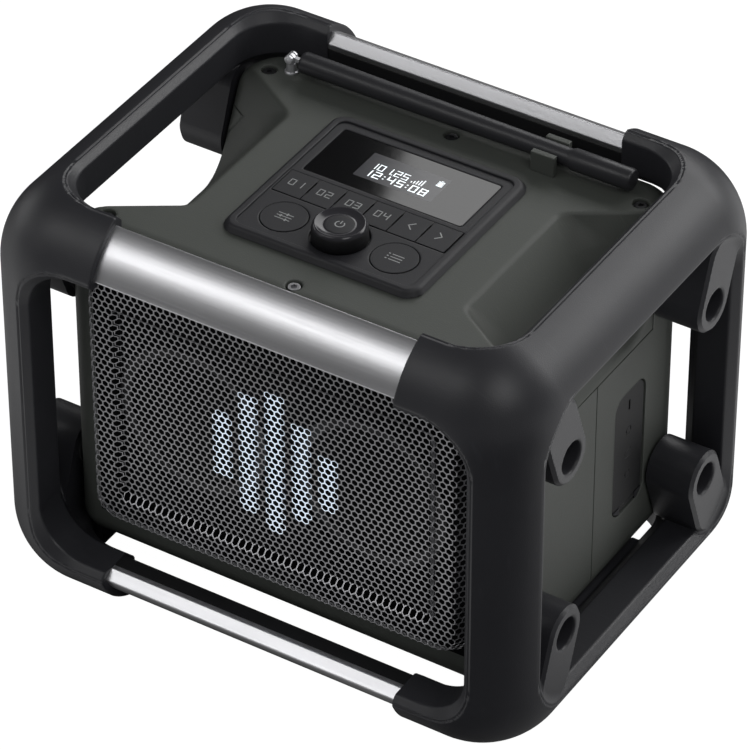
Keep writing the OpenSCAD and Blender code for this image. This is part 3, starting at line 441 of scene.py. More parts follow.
def cageField(x, y, z):
    room = cage["clear"] - hullField(x, y, z)
    pad = -1e3
    for value, (low, high) in zip((x, y, z), cage["pad"]):
        pad = meet(pad, meet(low - value, value - high))
    z = z - cage["middle"]
    hx, hy, hz = cage["half"]
    wx, wy, wz = (h - cage["rail"] for h in cage["half"])
    ax, ay, az = np.abs(x), np.abs(y), np.abs(z)
    k = cage["edge"]
    skin = roundBox(x, y, z, cage["half"], cage["round"])
    solid, under = skin, None
    ledgeWide, ledgeSunk, ledgeDeep = cage["rebate"]
    bevelZ, bevelX, bevelY = cage["bevel"]
    for u, v, a, b, depth, bevel in ((ax, ay, wx, wy, hz - az, bevelZ), (ay, az, wy, wz, hx - ax, bevelX),
                                     (ax, az, wx, wz, hy - ay, bevelY)):
        hole = roundRect(u, v, a, b, cage["windowRound"])
        flare = (bevel - depth - hole) / sqrt(2)
        solid = softMax(softMax(solid, -hole, k), flare, k)
        ledge = join(join(flare + ledgeWide, skin + ledgeSunk), ledgeDeep - depth)
        solid = softMax(solid, ledge, 0.5)
        inner = (depth - cage["wallDeep"] - hole) / sqrt(2)
        under = inner if under is None else join(under, inner)
    solid = softMax(softMin(softMax(solid, under, k), pad, 0.5), room, k)
    solid = softMax(solid, cage["sleeveEnd"] - x, 1.0)
    turnBy = radians(cage["lugTurn"])
    py, pz = ay - cage["lugAt"][0], az - cage["lugAt"][1]
    t = np.clip(py * cos(turnBy) + pz * sin(turnBy), 0, cage["lugReach"])
    side = np.sqrt((py - t * cos(turnBy)) ** 2 + (pz - t * sin(turnBy)) ** 2) - cage["lugRound"]
    near, far = cage["lugX"]
    lug = meet(side, (side + x - far + cage["lugBevel"]) / sqrt(2))
    lug = meet(lug, meet(x - far, near - x))
    solid = softMin(solid, lug, 2.0)
    bore = meet(np.sqrt(py * py + pz * pz) - cage["boreRound"], cage["boreFloor"] - x)
    return softMax(solid, -bore, 1.6)

cageSkin = skinOf(cageField, (86, -133, -2), (167, 133, 258), cage["step"] * (1))
for side, flip in (("right", False), ("left", True)):
    addPiece(f"{side}CageEnd", skinMesh(f"{side}CageEnd", cageSkin, flip), "cageBlack", "housing",
             (f"{side}_end_frame",))
print("cage ends:", len(cageSkin[0]), "points each")

# cross bars: drawn skins between the sleeves
bar = {"round": 44, "skin": 3, "face": 14, "nose": 40.04, "bevel": 34.34, "coreNose": 36.64, "coreBevel": 31.34,
       "half": 104, "at": (83, 80), "arcSteps": 40, "soft": 0.5}

def barSection():
    def arcPoints(r, nose):
        a = acos(nose / r)
        turns = [a + (pi / 2 - 2 * a) * i / bar["arcSteps"] for i in range(bar["arcSteps"] + 1)]
        return [(r * cos(t), r * sin(t)) for t in turns]
    outer = arcPoints(bar["round"], bar["nose"])
    inner = arcPoints(bar["round"] - bar["skin"], bar["coreNose"])
    f = bar["face"]
    return outer + [(f, bar["bevel"]), (f, bar["coreBevel"])] + inner[::-1] + [(bar["coreBevel"], f), (bar["bevel"], f)]

section = barSection()
count = len(section)
for node, sy, sz in (("bar_front_top", -1, 1), ("bar_rear_top", 1, 1), ("bar_front_bottom", -1, -1),
                     ("bar_rear_bottom", 1, -1)):
    points = [(x, sy * (bar["at"][0] + p), cage["middle"] + sz * (bar["at"][1] + q))
              for x in (-bar["half"], bar["half"]) for p, q in section]
    faces = [(i, (i + 1) % count, count + (i + 1) % count, count + i) for i in range(count)]
    faces += [tuple(range(count)), tuple(range(2 * count - 1, count - 1, -1))]
    bm = bmesh.new()
    made = [bm.verts.new([c * mm for c in p]) for p in points]
    for face in faces:
        bm.faces.new([made[i] for i in face])
    bmesh.ops.recalc_face_normals(bm, faces=bm.faces)
    long = [e for e in bm.edges if e.calc_face_angle(0) > radians(20)
            and abs(e.verts[0].co.x - e.verts[1].co.x) > 0.1]
    bmesh.ops.bevel(bm, geom=long, offset=bar["soft"] * mm, segments=3, profile=0.5, affect="EDGES", clamp_overlap=True)
    mesh = bpy.data.meshes.new(node + "Drawn")
    bm.to_mesh(mesh)
    bm.free()
    easedNormals(mesh, 0.2)
    addPiece(node + "Drawn", mesh, "barAluminium", "housing", (node,))
print("bars done")

# housing: front and rear shells and the top cover
shell = {"wall": 3, "seam": 4, "gap": 0.35,
         "coverZ": 206, "coverX": 79, "coverHalf": 61, "coverLip": 166, "top": 230, "scoopX": 82, "scoopSlope": 62 / 49,
         "scoopHalf": 47, "scoopSpread": 0.643, "scoopRise": 0.46, "scoopValley": (3.5, 9, 16), "scoopEdge": 1.7,
         "driverX": 54, "driverRound": 46, "baffle": -80, "screwX": 113, "screwY": 76, "recess": 4.4,
         "recessFloor": 226.8, "boss": (7, 222, 229), "tub": (51.6, 50.8), "tubY": 1.25, "tubFloor": 215,
         "port": (40.2, 101, 15.9, 39.4, 8.4), "portFloor": 120, "door": (63.3, 85, 37.3), "doorPad": (96.5, 101),
         "doorOpen": (54, 28), "doorFloor": 100, "doorThrough": 90, "postX": 111, "postZ": (42, 151),
         "postHole": (3.7, 98.5), "pit": (113, 81.5, -84), "step": 1.7}

def scoopField(x, y, z):
    ax, ay = np.abs(x), np.abs(y)
    slope, spread, rise = shell["scoopSlope"], shell["scoopSpread"], shell["scoopRise"]
    bed = (shell["top"] - slope * (ax - shell["scoopX"]) - z) / sqrt(1 + slope ** 2)
    sides = (ay - shell["scoopHalf"] - spread * (ax - shell["scoopX"]) + rise * (shell["top"] - z)) / sqrt(
        1 + spread ** 2 + rise ** 2)
    tight, more, run = shell["scoopValley"]
    return softMax(bed, sides, tight + more * np.clip((shell["top"] - z) / run, 0, 1))

def housingField(x, y, z):
    outer = softMax(hullField(x, y, z), -scoopField(x, y, z), shell["scoopEdge"])
    return meet(outer, -outer - shell["wall"])

def coverField(x, y, z):
    ax, ay = np.abs(x), np.abs(y)
    flap = meet(meet(shell["coverX"] - ax, ay - shell["coverHalf"]), shell["coverLip"] - z)
    return join(shell["coverZ"] - z, flap)

def frontField(x, y, z):
    solid = meet(housingField(x, y, z), y - shell["seam"] + shell["gap"])
    solid = softMax(solid, shell["gap"] - coverField(x, y, z), 0.6)
    hole = np.sqrt((np.abs(x) - shell["driverX"]) ** 2 + (z - cage["middle"]) ** 2) - shell["driverRound"]
    return meet(solid, -meet(hole, y - shell["baffle"]))

def rearField(x, y, z):
    solid = meet(housingField(x, y, z), shell["seam"] + shell["gap"] - y)
    solid = softMax(solid, shell["gap"] - coverField(x, y, z), 0.6)
    dx, dz, dh = shell["door"]
    padIn, padOut = shell["doorPad"]
    pad = meet(roundRect(x, z - dz, dx + 3, dh + 3, 3), meet(padIn - y, y - padOut))
    solid = join(solid, pad)
    door = meet(roundRect(x, z - dz, dx, dh, 2.5), shell["doorFloor"] - y)
    solid = softMax(solid, -door, 0.8)
    through = meet(roundRect(x, z - dz, *shell["doorOpen"], 4), shell["doorThrough"] - y)
    solid = meet(solid, -through)
    py, pz, pw, ph, pr = shell["port"]
    port = meet(roundRect(y - py, z - pz, pw, ph, pr), shell["portFloor"] - x)
    solid = softMax(solid, -port, 0.8)
    for post in shell["postZ"]:
        hole = np.sqrt((np.abs(x) - shell["postX"]) ** 2 + (z - post) ** 2) - shell["postHole"][0]
        solid = meet(solid, -meet(hole, shell["postHole"][1] - y))
    return solid

def topField(x, y, z):
    solid = softMax(housingField(x, y, z), coverField(x, y, z) + shell["gap"], 0.6)
    ax, ay = np.abs(x), np.abs(y)
    sx = join(np.abs(ax - shell["screwX"]), ax)
    ring = np.sqrt(sx ** 2 + (ay - shell["screwY"]) ** 2)
    wide, low, high = shell["boss"]
    boss = meet(ring - wide, meet(z - high, low - z))
    solid = join(solid, boss)
    solid = softMax(solid, -meet(ring - shell["recess"], shell["recessFloor"] - z), 0.9)
    tub = meet(roundRect(x, y - shell["tubY"], *shell["tub"], 3), shell["tubFloor"] - z)
    return meet(solid, -tub)

shellStep = shell["step"] * 1
for name, field, low, high, node in (
        ("frontShell", frontField, (-134, -95, 22), (134, 6, 209), "front_shell"),
        ("rearShell", rearField, (-134, 1, 22), (134, 105, 209), "rear_shell"),
        ("topCover", topField, (-134, -95, 163), (134, 105, 233), "top_cover")):
    piece = moulded(name, field, low, high, shellStep, "shellOlive", node)
    if name == "frontShell":    # wall behind the mesh painted near-black with little shine: partly a dark backing, partly painted shade seen through the holes
        piece.data.materials.append(mats["pitBlack"])
        pitX, pitZ, pitY = shell["pit"]
        for face in piece.data.polygons:
            at = face.center / mm
            face.material_index = int(abs(at.x) < pitX and abs(at.z - cage["middle"]) < pitZ and at.y < pitY)

# perforated grille: six-sided cells laid over the pan, made by a node tree
mesh6 = {"pitch": 4.0, "web": 0.68, "sheet": 0.26, "flat": (109.5, 76, 12), "bendDeg": 53.7, "reach": 10.4,
         "front": -99.1, "sink": 3.4, "sunk": (96.8, 62.4, 5), "sinkRun": 3.6, "middle": 128,
         "levels": (5, 9, 11, 8, 4), "levelPitch": 16.0, "levelHalf": 5.9}

def panPlace(u, v):
    a, b, r = mesh6["flat"]
    su, sv = (1 if u >= 0 else -1), (1 if v >= 0 else -1)
    cu, cv = min(abs(u), a - r), min(abs(v), b - r)
    qu, qv = abs(u) - cu, abs(v) - cv
    far = hypot(qu, qv)
    bend = radians(mesh6["bendDeg"])
    out = max(far - r, 0) if far > 0 else 0
    y = mesh6["front"] + out * sin(bend)
    if out > 0:
        share = (r + out * cos(bend)) / far
        qu, qv = qu * share, qv * share
    sa, sb, sr = mesh6["sunk"]
    inset = -(float(roundRect(np.float64(u), np.float64(v), sa, sb, sr)))
    t = min(max(inset / mesh6["sinkRun"], 0), 1)
    return su * (cu + qu), y + mesh6["sink"] * t * t * (3 - 2 * t), mesh6["middle"] + sv * (cv + qv)

def isLit(u, v):
    i = round(u / mesh6["levelPitch"] + (len(mesh6["levels"]) - 1) / 2)
    if not 0 <= i < len(mesh6["levels"]):
        return False
    middle = (i - (len(mesh6["levels"]) - 1) / 2) * mesh6["levelPitch"]
    return abs(u - middle) < mesh6["levelHalf"] and abs(v) < mesh6["levels"][i] * 4.1

# sets a shape on points that carry a turn and a size, as one mesh with its finish
def setOnPoints(tree, ins, outs, shape):
    turn, size = (put(tree, "GeometryNodeInputNamedAttribute", {"Name": label}, data_type="FLOAT_VECTOR")
                  .outputs["Attribute"] for label in ("turn", "size"))
    turned = put(tree, "FunctionNodeEulerToRotation", {0: turn}).outputs[0]
    spread = put(tree, "GeometryNodeInstanceOnPoints", {"Points": ins["Points"], "Instance": shape,
                                                        "Rotation": turned, "Scale": size}).outputs["Instances"]
    whole = put(tree, "GeometryNodeRealizeInstances", {"Geometry": spread}).outputs["Geometry"]
    painted = put(tree, "GeometryNodeSetMaterial", {"Geometry": whole, "Material": ins["Finish"]})
    tree.links.new(painted.outputs["Geometry"], outs["Mesh"])

cellTree, ci, co = startGroup("cellsOnPan", "GeometryNodeTree",
    {"Points": "Geometry", "Pitch": "Float", "Web": "Float", "Sheet": "Float", "Finish": "Material"},
    {"Mesh": "Geometry"})
halfPitch, quarterWeb, webWide = (mathNode(cellTree, "MULTIPLY", ci[label], share)
                                  for label, share in (("Pitch", 0.5), ("Web", 0.25), ("Web", 0.56)))
apothem = mathNode(cellTree, "SUBTRACT", halfPitch, quarterWeb)
ringCurve = put(cellTree, "GeometryNodeCurvePrimitiveCircle",
                {"Resolution": 6, "Radius": mathNode(cellTree, "MULTIPLY", apothem, 2 / sqrt(3))})
ringTurn = put(cellTree, "GeometryNodeTransform",
               {"Geometry": ringCurve.outputs["Curve"], "Rotation": (0, 0, pi / 6)})
profile = put(cellTree, "GeometryNodeCurvePrimitiveQuadrilateral", {"Width": webWide, "Height": ci["Sheet"]})
ringMesh = put(cellTree, "GeometryNodeCurveToMesh",
               {"Curve": ringTurn.outputs["Geometry"], "Profile Curve": profile.outputs["Curve"]})
setOnPoints(cellTree, ci, co, ringMesh.outputs["Mesh"])

# runs a tree on points with a turn and a size each, and keeps the result as a plain mesh
def runTree(name, tree, spots, turns, sizes, values):
    base = bpy.data.meshes.new(name + "Points")
    base.from_pydata([tuple(c * mm for c in p) for p in spots], [], [])
    for label, rows in (("turn", turns), ("size", sizes)):
        layer = base.attributes.new(label, "FLOAT_VECTOR", "POINT")
        layer.data.foreach_set("vector", np.array(rows, dtype=np.float32).ravel())
    holder = bpy.data.objects.new(name + "Points", base)
    scene.collection.objects.link(holder)
    modifier = holder.modifiers.new("tree", "NODES")
    modifier.node_group = tree
    for item in tree.interface.items_tree:
        if item.in_out == "INPUT" and item.name in values:
            modifier[item.identifier] = values[item.name]
    graph = bpy.context.evaluated_depsgraph_get()
    made = bpy.data.meshes.new_from_object(holder.evaluated_get(graph))
    made.name = name
    bpy.data.objects.remove(holder)
    return made

cells = {"plain": ([], [], []), "lit": ([], [], [])}
rowStep = mesh6["pitch"] * sqrt(3) / 2
reachU, reachV = mesh6["flat"][0] + mesh6["reach"], mesh6["flat"][1] + mesh6["reach"]
for row in range(-int(reachV / rowStep) - 1, int(reachV / rowStep) + 1):
    for col in range(-int(reachU / mesh6["pitch"]) - 1, int(reachU / mesh6["pitch"]) + 2):
        u, v = (col + 0.5 * (row % 2)) * mesh6["pitch"], (row + 0.5) * rowStep
        if float(roundRect(np.float64(u), np.float64(v), *mesh6["flat"])) > mesh6["reach"]:
            continue
        here = Vector(panPlace(u, v))
        alongU = (Vector(panPlace(u + 1.4, v)) - Vector(panPlace(u - 1.4, v))) / 2.8
        alongV = (Vector(panPlace(u, v + 1.4)) - Vector(panPlace(u, v - 1.4))) / 2.8
        out = alongU.cross(alongV).normalized()
        flatU = alongU.normalized()
        spin = Matrix((flatU, out.cross(flatU), out)).transposed().to_euler()
        size = (alongU.length, alongV.length, 1)
        for kept, value in zip(cells["lit" if isLit(u, v) else "plain"], (here, spin, size)):
            kept.append(value)
# motif cells: white print with a painted glow
for name, kind, finish, replaced in (("grilleCells", "plain", "grilleGrey", ("grille",)),
                                     ("levelCells", "lit", "litWhite", ())):
    made = runTree(name, cellTree, *cells[kind], {"Pitch": mesh6["pitch"] * mm, "Web": mesh6["web"] * mm,
                                                  "Sheet": mesh6["sheet"] * mm, "Finish": mats[finish]})
    made.shade_flat()
    addPiece(name, made, finish, "housing", replaced)
print("grille cells:", *(f"{len(kept[0])} {kind}" for kind, kept in cells.items()))

# panel on the top cover
panel = {"foot": (59.5, 58.75, 10), "y": 1.25, "z": (230, 234), "slope": 2.8, "rim": 3.8, "face": 233,
         "row": (51.6, 2.6, -16.8), "gap": 0.4, "roundAt": (33, -33.8), "roundKey": 12.5, "lens": (47.5, 20.5, 27),
         "lensFloor": 231.6, "knobY": -33, "knobWell": 15.7, "wellFloor": 231.2, "shaftHole": 4.7, "under": 229.4,
         "step": 0.75}

def panelField(x, y, z):
    v = y - panel["y"]
    low, high = panel["z"]
    a, b, r = panel["foot"]
    rate = panel["slope"] / (high - low)
    rise = np.clip(z - low, -2, 6) * rate
    side = (roundRect(x, v, a, b, r) + rise) / sqrt(1 + rate * rate) + np.where(z < low + 0.7, 0.8, 0)
    solid = softMax(side, z - high, 1.2)
    inset = panel["slope"] + panel["rim"]
    well = meet(roundRect(x, v, a - inset, b - inset, 5), panel["face"] - z)
    solid = softMax(solid, -well, 0.7)
    half, back, front = panel["row"]
    row = roundRect(x, y - (back + front) / 2, half + panel["gap"], (back - front) / 2 + panel["gap"], 0.8)
    solid = softMax(solid, -row, 0.5)
    rx, ry = panel["roundAt"]
    solid = softMax(solid, panel["roundKey"] + panel["gap"] - np.sqrt((np.abs(x) - rx) ** 2 + (y - ry) ** 2), 0.5)
    lw, ld, ly = panel["lens"]
    glass = meet(roundRect(x, y - ly, lw + 0.25, ld + 0.25, 1.6), panel["lensFloor"] - z)
    solid = softMax(solid, -glass, 0.5)
    turn = np.sqrt(x * x + (y - panel["knobY"]) ** 2)
    solid = softMax(solid, -meet(turn - panel["knobWell"], panel["wellFloor"] - z), 0.5)
    solid = meet(solid, panel["shaftHole"] - turn)
    return meet(solid, panel["under"] - z)

moulded("panelBezel", panelField, (-61, -59, 228.6), (61, 62, 235.4), panel["step"], "panelGrey", "panel_bezel")

# stacks outlines of equal length into a closed body
def stacked(name, rings, sharp=None):
    count = len(rings[0])
    points = [p for ring in rings for p in ring]
    faces = [(k * count + i, k * count + (i + 1) % count, (k + 1) * count + (i + 1) % count, (k + 1) * count + i)
             for k in range(len(rings) - 1) for i in range(count)]
    faces += [tuple(range(count - 1, -1, -1)), tuple(range((len(rings) - 1) * count, len(rings) * count))]
    mesh = meshFrom(name, points, faces, sharp)
    if sharp is None:
        easedNormals(mesh)
    return mesh

def lathe(profile, centre, steps=96):
    return [[(centre[0] + r * cos(t), centre[1] + r * sin(t), z)
             for t in np.linspace(0, 2 * pi, steps, endpoint=False)] for r, z in profile]

def roundOutline(a, b, r, steps=8):
    return [((1 if c in (0, 3) else -1) * (a - r) + r * cos(pi / 2 * (c + i / steps)),
             (1 if c < 2 else -1) * (b - r) + r * sin(pi / 2 * (c + i / steps)))
            for c in range(4) for i in range(steps + 1)]

def plateAt(name, outlineAt, levels):
    return stacked(name, [[(x, y, z) for x, y in outlineAt(inset)] for inset, z in levels])

lensMesh = plateAt("lensPlate", lambda d: [(x, y + panel["lens"][2]) for x, y in roundOutline(
    panel["lens"][0] - d, panel["lens"][1] - d, 1.4)], ((0, 231.7), (0, 232.75), (0.12, 232.93), (0.35, 233.0)))
addPiece("lensPlate", lensMesh, "lensGloss", "housing", ("display_lens",))
print("panel and lens done")

# six flat keys with a short slit between neighbours
keys = {"pitch": 17.2, "deep": 19.4, "back": 2.6, "top": 233.3, "base": 230.6, "gap": 0.13, "slit": (5.6, 0.32, 0.9),
        "soft": 0.35, "roundLevels": ((0, 230.6), (0, 232.9), (0.12, 233.15), (0.4, 233.3)), "slitFloor": 232.2}

def keyOutline(index, d):
    w, h = keys["pitch"] / 2 - keys["gap"] - d, keys["deep"] / 2 - d
    long, deep, up = keys["slit"]
    right = w - deep if index < 6 else w
    left = -w + deep if index > 1 else -w
    low, high = up - long, up + long
    line = [(w, -h), (w, low), (right, low + 0.2), (right, high - 0.2), (w, high), (w, h),
            (-w, h), (-w, high), (left, high - 0.2), (left, low + 0.2), (-w, low), (-w, -h)]
    cx, cy = (index - 3.5) * keys["pitch"], keys["back"] - keys["deep"] / 2
    return [(x + cx, y + cy) for x, y in line]

# steep side walls of the keys take the near-black finish as painted shade in the gaps
def darkWalls(piece):
    piece.data.materials.append(mats["coreBlack"])
    for face in piece.data.polygons:
        face.material_index = int(abs(face.normal.z) < 0.4)

for index in range(1, 7):
    soft = keys["soft"]
    mesh = plateAt(f"flatKey{index}", lambda d: keyOutline(index, d), (
        (0, keys["base"]), (0, keys["top"] - soft), (soft * 0.3, keys["top"] - soft * 0.3), (soft, keys["top"])))
    darkWalls(addPiece(f"flatKey{index}", mesh, "keyGrey", f"key_{index}", (f"key_{index}",)))
rx, ry = panel["roundAt"]
for side, s in (("left", -1), ("right", 1)):
    label = f"roundKey{side.title()}"
    mesh = stacked(label, lathe([(panel["roundKey"] - d, z) for d, z in keys["roundLevels"]], (s * rx, ry), 72))
    darkWalls(addPiece(label, mesh, "keyGrey", f"round_key_{side}", (f"round_key_{side}",)))

# knob: black skirt, dished bright ring, sunk cap
knob = {"y": -33, "skirt": [(4.0, 232.3), (14.4, 232.3), (14.8, 232.7), (14.7, 238.8), (14.3, 240.5), (13.6, 241.7),
                            (13.1, 242.15)],
        "ring": [(13.1, 242.15), (12.8, 242.2), (12.4, 242.05), (11.0, 241.3), (9.0, 240.85), (7.9, 240.75)],
        "cap": [(7.9, 240.75), (7.7, 240.9), (7.4, 240.94), (0.02, 240.94)]}

knobMesh = stacked("knobBody", lathe(knob["skirt"] + knob["ring"][1:] + knob["cap"][1:], (0, knob["y"])), 50)
addPiece("knobBody", knobMesh, "knobGloss", "knob", ("knob", "knob_cap"))
knobMesh.materials.append(mats["keyGrey"])
knobMesh.materials.append(mats["flapRubber"])
for face in knobMesh.polygons:
    middle = face.center / mm
    r = hypot(middle.x, middle.y - knob["y"])
    face.material_index = 1 if r < 7.8 and middle.z > 238 else (0 if middle.z > 240.6 else 2)

# flat strokes a hair above a face: printed marks, and near-black strips of painted shade in the key slits
def strokes(name, parts, z, finish, body, lift=0.03):
    points, faces = [], []
    for part in parts:
        base = len(points)
        points += [(x, y, z + lift) for x, y in part]
        faces.append(tuple(range(base, base + len(part))))
    bm = bmesh.new()
    mesh = meshFrom(name, points, faces)
    bm.from_mesh(mesh)
    bmesh.ops.recalc_face_normals(bm, faces=bm.faces)
    for face in bm.faces:
        if face.normal.z < 0:
            face.normal_flip()
    bm.to_mesh(mesh)
    bm.free()
    return addPiece(name, mesh, finish, body)

def stroke(a, b, w):
    d = Vector((b[0] - a[0], b[1] - a[1])).normalized() * (w / 2)
    n = Vector((-d.y, d.x))
    return [(a[0] - d.x + n.x, a[1] - d.y + n.y), (a[0] - d.x - n.x, a[1] - d.y - n.y),
            (b[0] + d.x - n.x, b[1] + d.y - n.y), (b[0] + d.x + n.x, b[1] + d.y + n.y)]

def arcStrokes(cx, cy, r, start, end, w, steps=14):
    ring = []
    for i in range(steps):
        t0, t1 = (radians(start + (end - start) * (i + k) / steps) for k in (0, 1))
        ring.append([(cx + q * cos(t), cy + q * sin(t)) for q, t in (
            (r - w / 2, t0), (r + w / 2, t0), (r + w / 2, t1), (r - w / 2, t1))])
    return ring

segmentsOf = dict(zip("0123456789", "abcdef bc abged abgcd fgbc afgcd afgedc abc abcdefg abcdfg".split()))

def digit(char, x, y, w, h, line):
    ends = {"a": ((0, h), (w, h)), "b": ((w, h), (w, h / 2)), "c": ((w, h / 2), (w, 0)), "d": ((0, 0), (w, 0)),
            "e": ((0, 0), (0, h / 2)), "f": ((0, h / 2), (0, h)), "g": ((0, h / 2), (w, h / 2))}
    return [stroke((x + ends[s][0][0], y + ends[s][0][1]), (x + ends[s][1][0], y + ends[s][1][1]), line)
            for s in segmentsOf[char]]

def arrow(cx, cy, way, size, w):
    return [stroke((cx - way * size / 2, cy + size), (cx + way * size / 2, cy), w),
            stroke((cx + way * size / 2, cy), (cx - way * size / 2, cy - size), w)]

keyRow = keys["back"] - keys["deep"] / 2
for index in range(1, 7):
    cx = (index - 3.5) * keys["pitch"]
    if index <= 4:
        marks = [line for char, x in (("0", cx - 3.9), (str(index), cx + 0.9))
                 for line in digit(char, x, keyRow - 1.6, 2.9, 4.6, 0.6)]
    else:
        marks = arrow(cx, keyRow + 0.6, -1 if index == 5 else 1, 2.7, 0.62)
    strokes(f"keyMark{index}", marks, keys["top"], "printGrey", f"key_{index}")
# near-black strips on the slit floors between keys: painted shade in the slits
strokes("slitFloors", [stroke((i * keys["pitch"], keyRow - 4.1), (i * keys["pitch"], keyRow + 5.9), 0.8)
                       for i in range(-2, 3)], keys["slitFloor"], "coreBlack", "housing")
strokes("sliderMark", [stroke((-rx - 4.2, ry + d), (-rx + 4.2, ry + d), 0.5) for d in (-2.2, 0, 2.2)]
        + [stroke((-rx + k, ry + d - 0.5), (-rx + k, ry + d + 0.5), 0.9)
           for k, d in ((1.9, -2.2), (-2.0, 0), (0.9, 2.2))],
        keys["top"], "printGrey", "round_key_left")
strokes("listMark", [stroke((rx - 2.2, ry + d), (rx + 4.2, ry + d), 0.55) for d in (-2.2, 0, 2.2)]
        + [stroke((rx - 4.2, ry + d), (rx - 3.9, ry + d), 0.7) for d in (-2.2, 0, 2.2)],
        keys["top"], "printGrey", "round_key_right")
strokes("powerMark", arcStrokes(0, knob["y"], 2.4, 125, 415, 0.6, 24)
        + [stroke((0, knob["y"] + 0.6), (0, knob["y"] + 2.7), 0.6)],
        knob["cap"][-1][1], "printGrey", "knob")

# lit display under the lens
display = {"half": (23.3, 11), "y": 27, "left": -19.1, "digits": "101.25", "digitsY": 25.8, "clock": "12:45:08",
           "clockY": 19.0, "levelsX": 6.0, "cell": ((18.4, 30.2), (21.4, 34.0))}
glassMesh = plateAt("displayGlass", lambda d: [(x, y + display["y"]) for x, y in roundOutline(
    display["half"][0] - d, display["half"][1] - d, 0.8)], ((0, 232.6), (0, 233.012), (0.01, 233.02)))
addPiece("displayGlass", glassMesh, "displayGlass", "housing")
lit = []
x, y = display["left"], display["digitsY"]
for char in display["digits"]:
    if char == ".":
        lit.append(stroke((x - 0.75, y), (x - 0.55, y), 0.7))
        x += 0.8
    else:
        lit += digit(char, x, y, 2.9, 4.6, 0.62)
        x += 4.6
for i in range(5):
    x = display["levelsX"] + 1.5 * i
    lit.append(stroke((x, y), (x, y + 0.6 + 1.0 * i), 0.7))
x, y = display["left"], display["clockY"]
for char in display["clock"]:
    if char == ":":
        lit += [stroke((x, y + up), (x + 0.2, y + up), 0.8) for up in (1.4, 3.6)]
        x += 2.6
    else:
        lit += digit(char, x, y, 3.3, 4.9, 0.8)
        x += 5.6
(x0, y0), (x1, y1) = display["cell"]
lit += [stroke(*ends, 0.4) for ends in (((x0, y0), (x0, y1)), ((x1, y0), (x1, y1)), ((x0, y0), (x1, y0)),
                                        ((x0, y1), (x1, y1)))]
lit += [stroke((x0 + 1, y1 + 0.7), (x1 - 1, y1 + 0.7), 0.5), stroke((x0 + 1.5, y0 + 0.7), (x0 + 1.5, y0 + 2.4), 2.0)]
strokes("displayMarks", lit, 233.02, "litDigits", "housing")
print("keys, knob and display done")

# antenna whip, turned
whip = {"axis": (80.5, 238.8),
        "profile": [(-95, 0.02), (-95, 4.3), (-94.4, 5.3), (-93.5, 5.9), (-92.5, 6.0), (66.8, 5.06), (68.5, 5.04),
                    (70.0, 5.6), (70.8, 6.0), (104.3, 6.0), (105.3, 5.7), (105.9, 5.1), (106, 4.4), (106, 0.02)]}
whipRings = [[(z, x, y) for x, y, z in ring]
             for ring in lathe([(r, x) for x, r in whip["profile"]], whip["axis"], 64)]
addPiece("whipRod", stacked("whipRod", whipRings, 40), "whipBlack", "antenna", ("antenna_whip",))
post = {"at": (-102, 80.5), "pivot": 238.8, "foot": (3.7, 230.9), "cone": (3.0, 2.2), "head": (2.6, 3.3), "slot": 1.5,
        "pin": 1.3, "step": 0.3}

def postField(x, y, z):
    dx, dy, dz = x - post["at"][0], y - post["at"][1], z - post["pivot"]
    turn = np.sqrt(dx * dx + dy * dy)
    low, high = post["cone"]
    cone = meet(turn - (low + (high - low) * np.clip((z - 230) / 8.8, 0, 1)), dz)
    foot = softMax(turn - post["foot"][0], z - post["foot"][1], 0.5)
    across = np.sqrt(dx * dx + dz * dz)
    head = softMax(across - post["head"][0], np.abs(dy) - post["head"][1], 0.8)
    solid = softMin(softMin(cone, foot, 0.5), head, 0.8)
    slot = meet(np.abs(dy) - post["slot"], -2.9 - dz)
    solid = meet(softMax(solid, -slot, 0.4), post["pin"] - across)
    return meet(solid, 229.9 - z)

px, py = post["at"]
moulded("antennaPost", postField, (px - 5, py - 5, 229), (px + 5, py + 5, 242.5), post["step"], "chromePlate",
        "antenna_post")
refined("antenna_tongue", "chromePlate", 0.25)
refined("antenna_pin", "chromePlate", 0.1)
refined("antenna_clip", "shellOlive", 0.5)
print("antenna done")

# cover of the side sockets
flap = {"y": 40.2, "z": (62.2, 140.0), "half": 15.5, "round": 8, "x": (127.6, 130.3), "edge": 1.2,
        "hinge": (129.3, 64.6, 1.7, 7.5), "neckTop": 68, "toe": (12.4, 66.8), "pull": (0.8, 130.0, 3.4),
        "marks": ((113, 2.2), (98, 3.2), (84, 2.2)), "step": 0.7}

def flapField(x, y, z):
    low, high = flap["z"]
    v = y - flap["y"]
    back, front = flap["x"]
    shape = roundRect(v, z - (low + high) / 2, flap["half"], (high - low) / 2, flap["round"])
    plate = softMax(shape, np.abs(x - (back + front) / 2) - (front - back) / 2, flap["edge"])
    toeHalf, toeTop = flap["toe"]    # lower corners that clear the shell as the cover swings down
    plate = meet(plate, -meet(toeHalf - np.abs(v), z - toeTop))
    pullHalf, pullZ, pullHigh = flap["pull"]
    notch = meet(roundRect(v, z - pullZ, pullHalf, pullHigh, 0.7), front - 1.0 - x)
    plate = softMax(plate, -notch, 0.3)
    for at, wide in flap["marks"]:
        sunk = meet(np.abs(roundRect(v, z - at, wide, 2.2, 2.0)) - 0.4, front - 0.45 - x)
        plate = softMax(plate, -sunk, 0.3)
    hx, hz, hr, hy = flap["hinge"]
    barrel = meet(np.sqrt((x - hx) ** 2 + (z - hz) ** 2) - hr, np.abs(v) - hy)
    neck = meet(meet(back - x, x - front), meet(hz - z, z - flap["neckTop"]))
    neck = meet(neck, np.abs(v) - hy)
    return join(plate, join(barrel, neck))

moulded("socketCover", flapField, (126, 23, 61), (133, 57, 142), flap["step"], "flapRubber", "port_cover")

for node, finish, ease in (("feet", "softRubber", 0.8), ("battery_door", "shellOlive", 0.5),
                           ("lug_washers", "softRubber", 0.0), ("port_plate", "panelGrey", 0.0),
                           ("port_sockets", "screwSteel", 0.15)):
    refined(node, finish, ease)

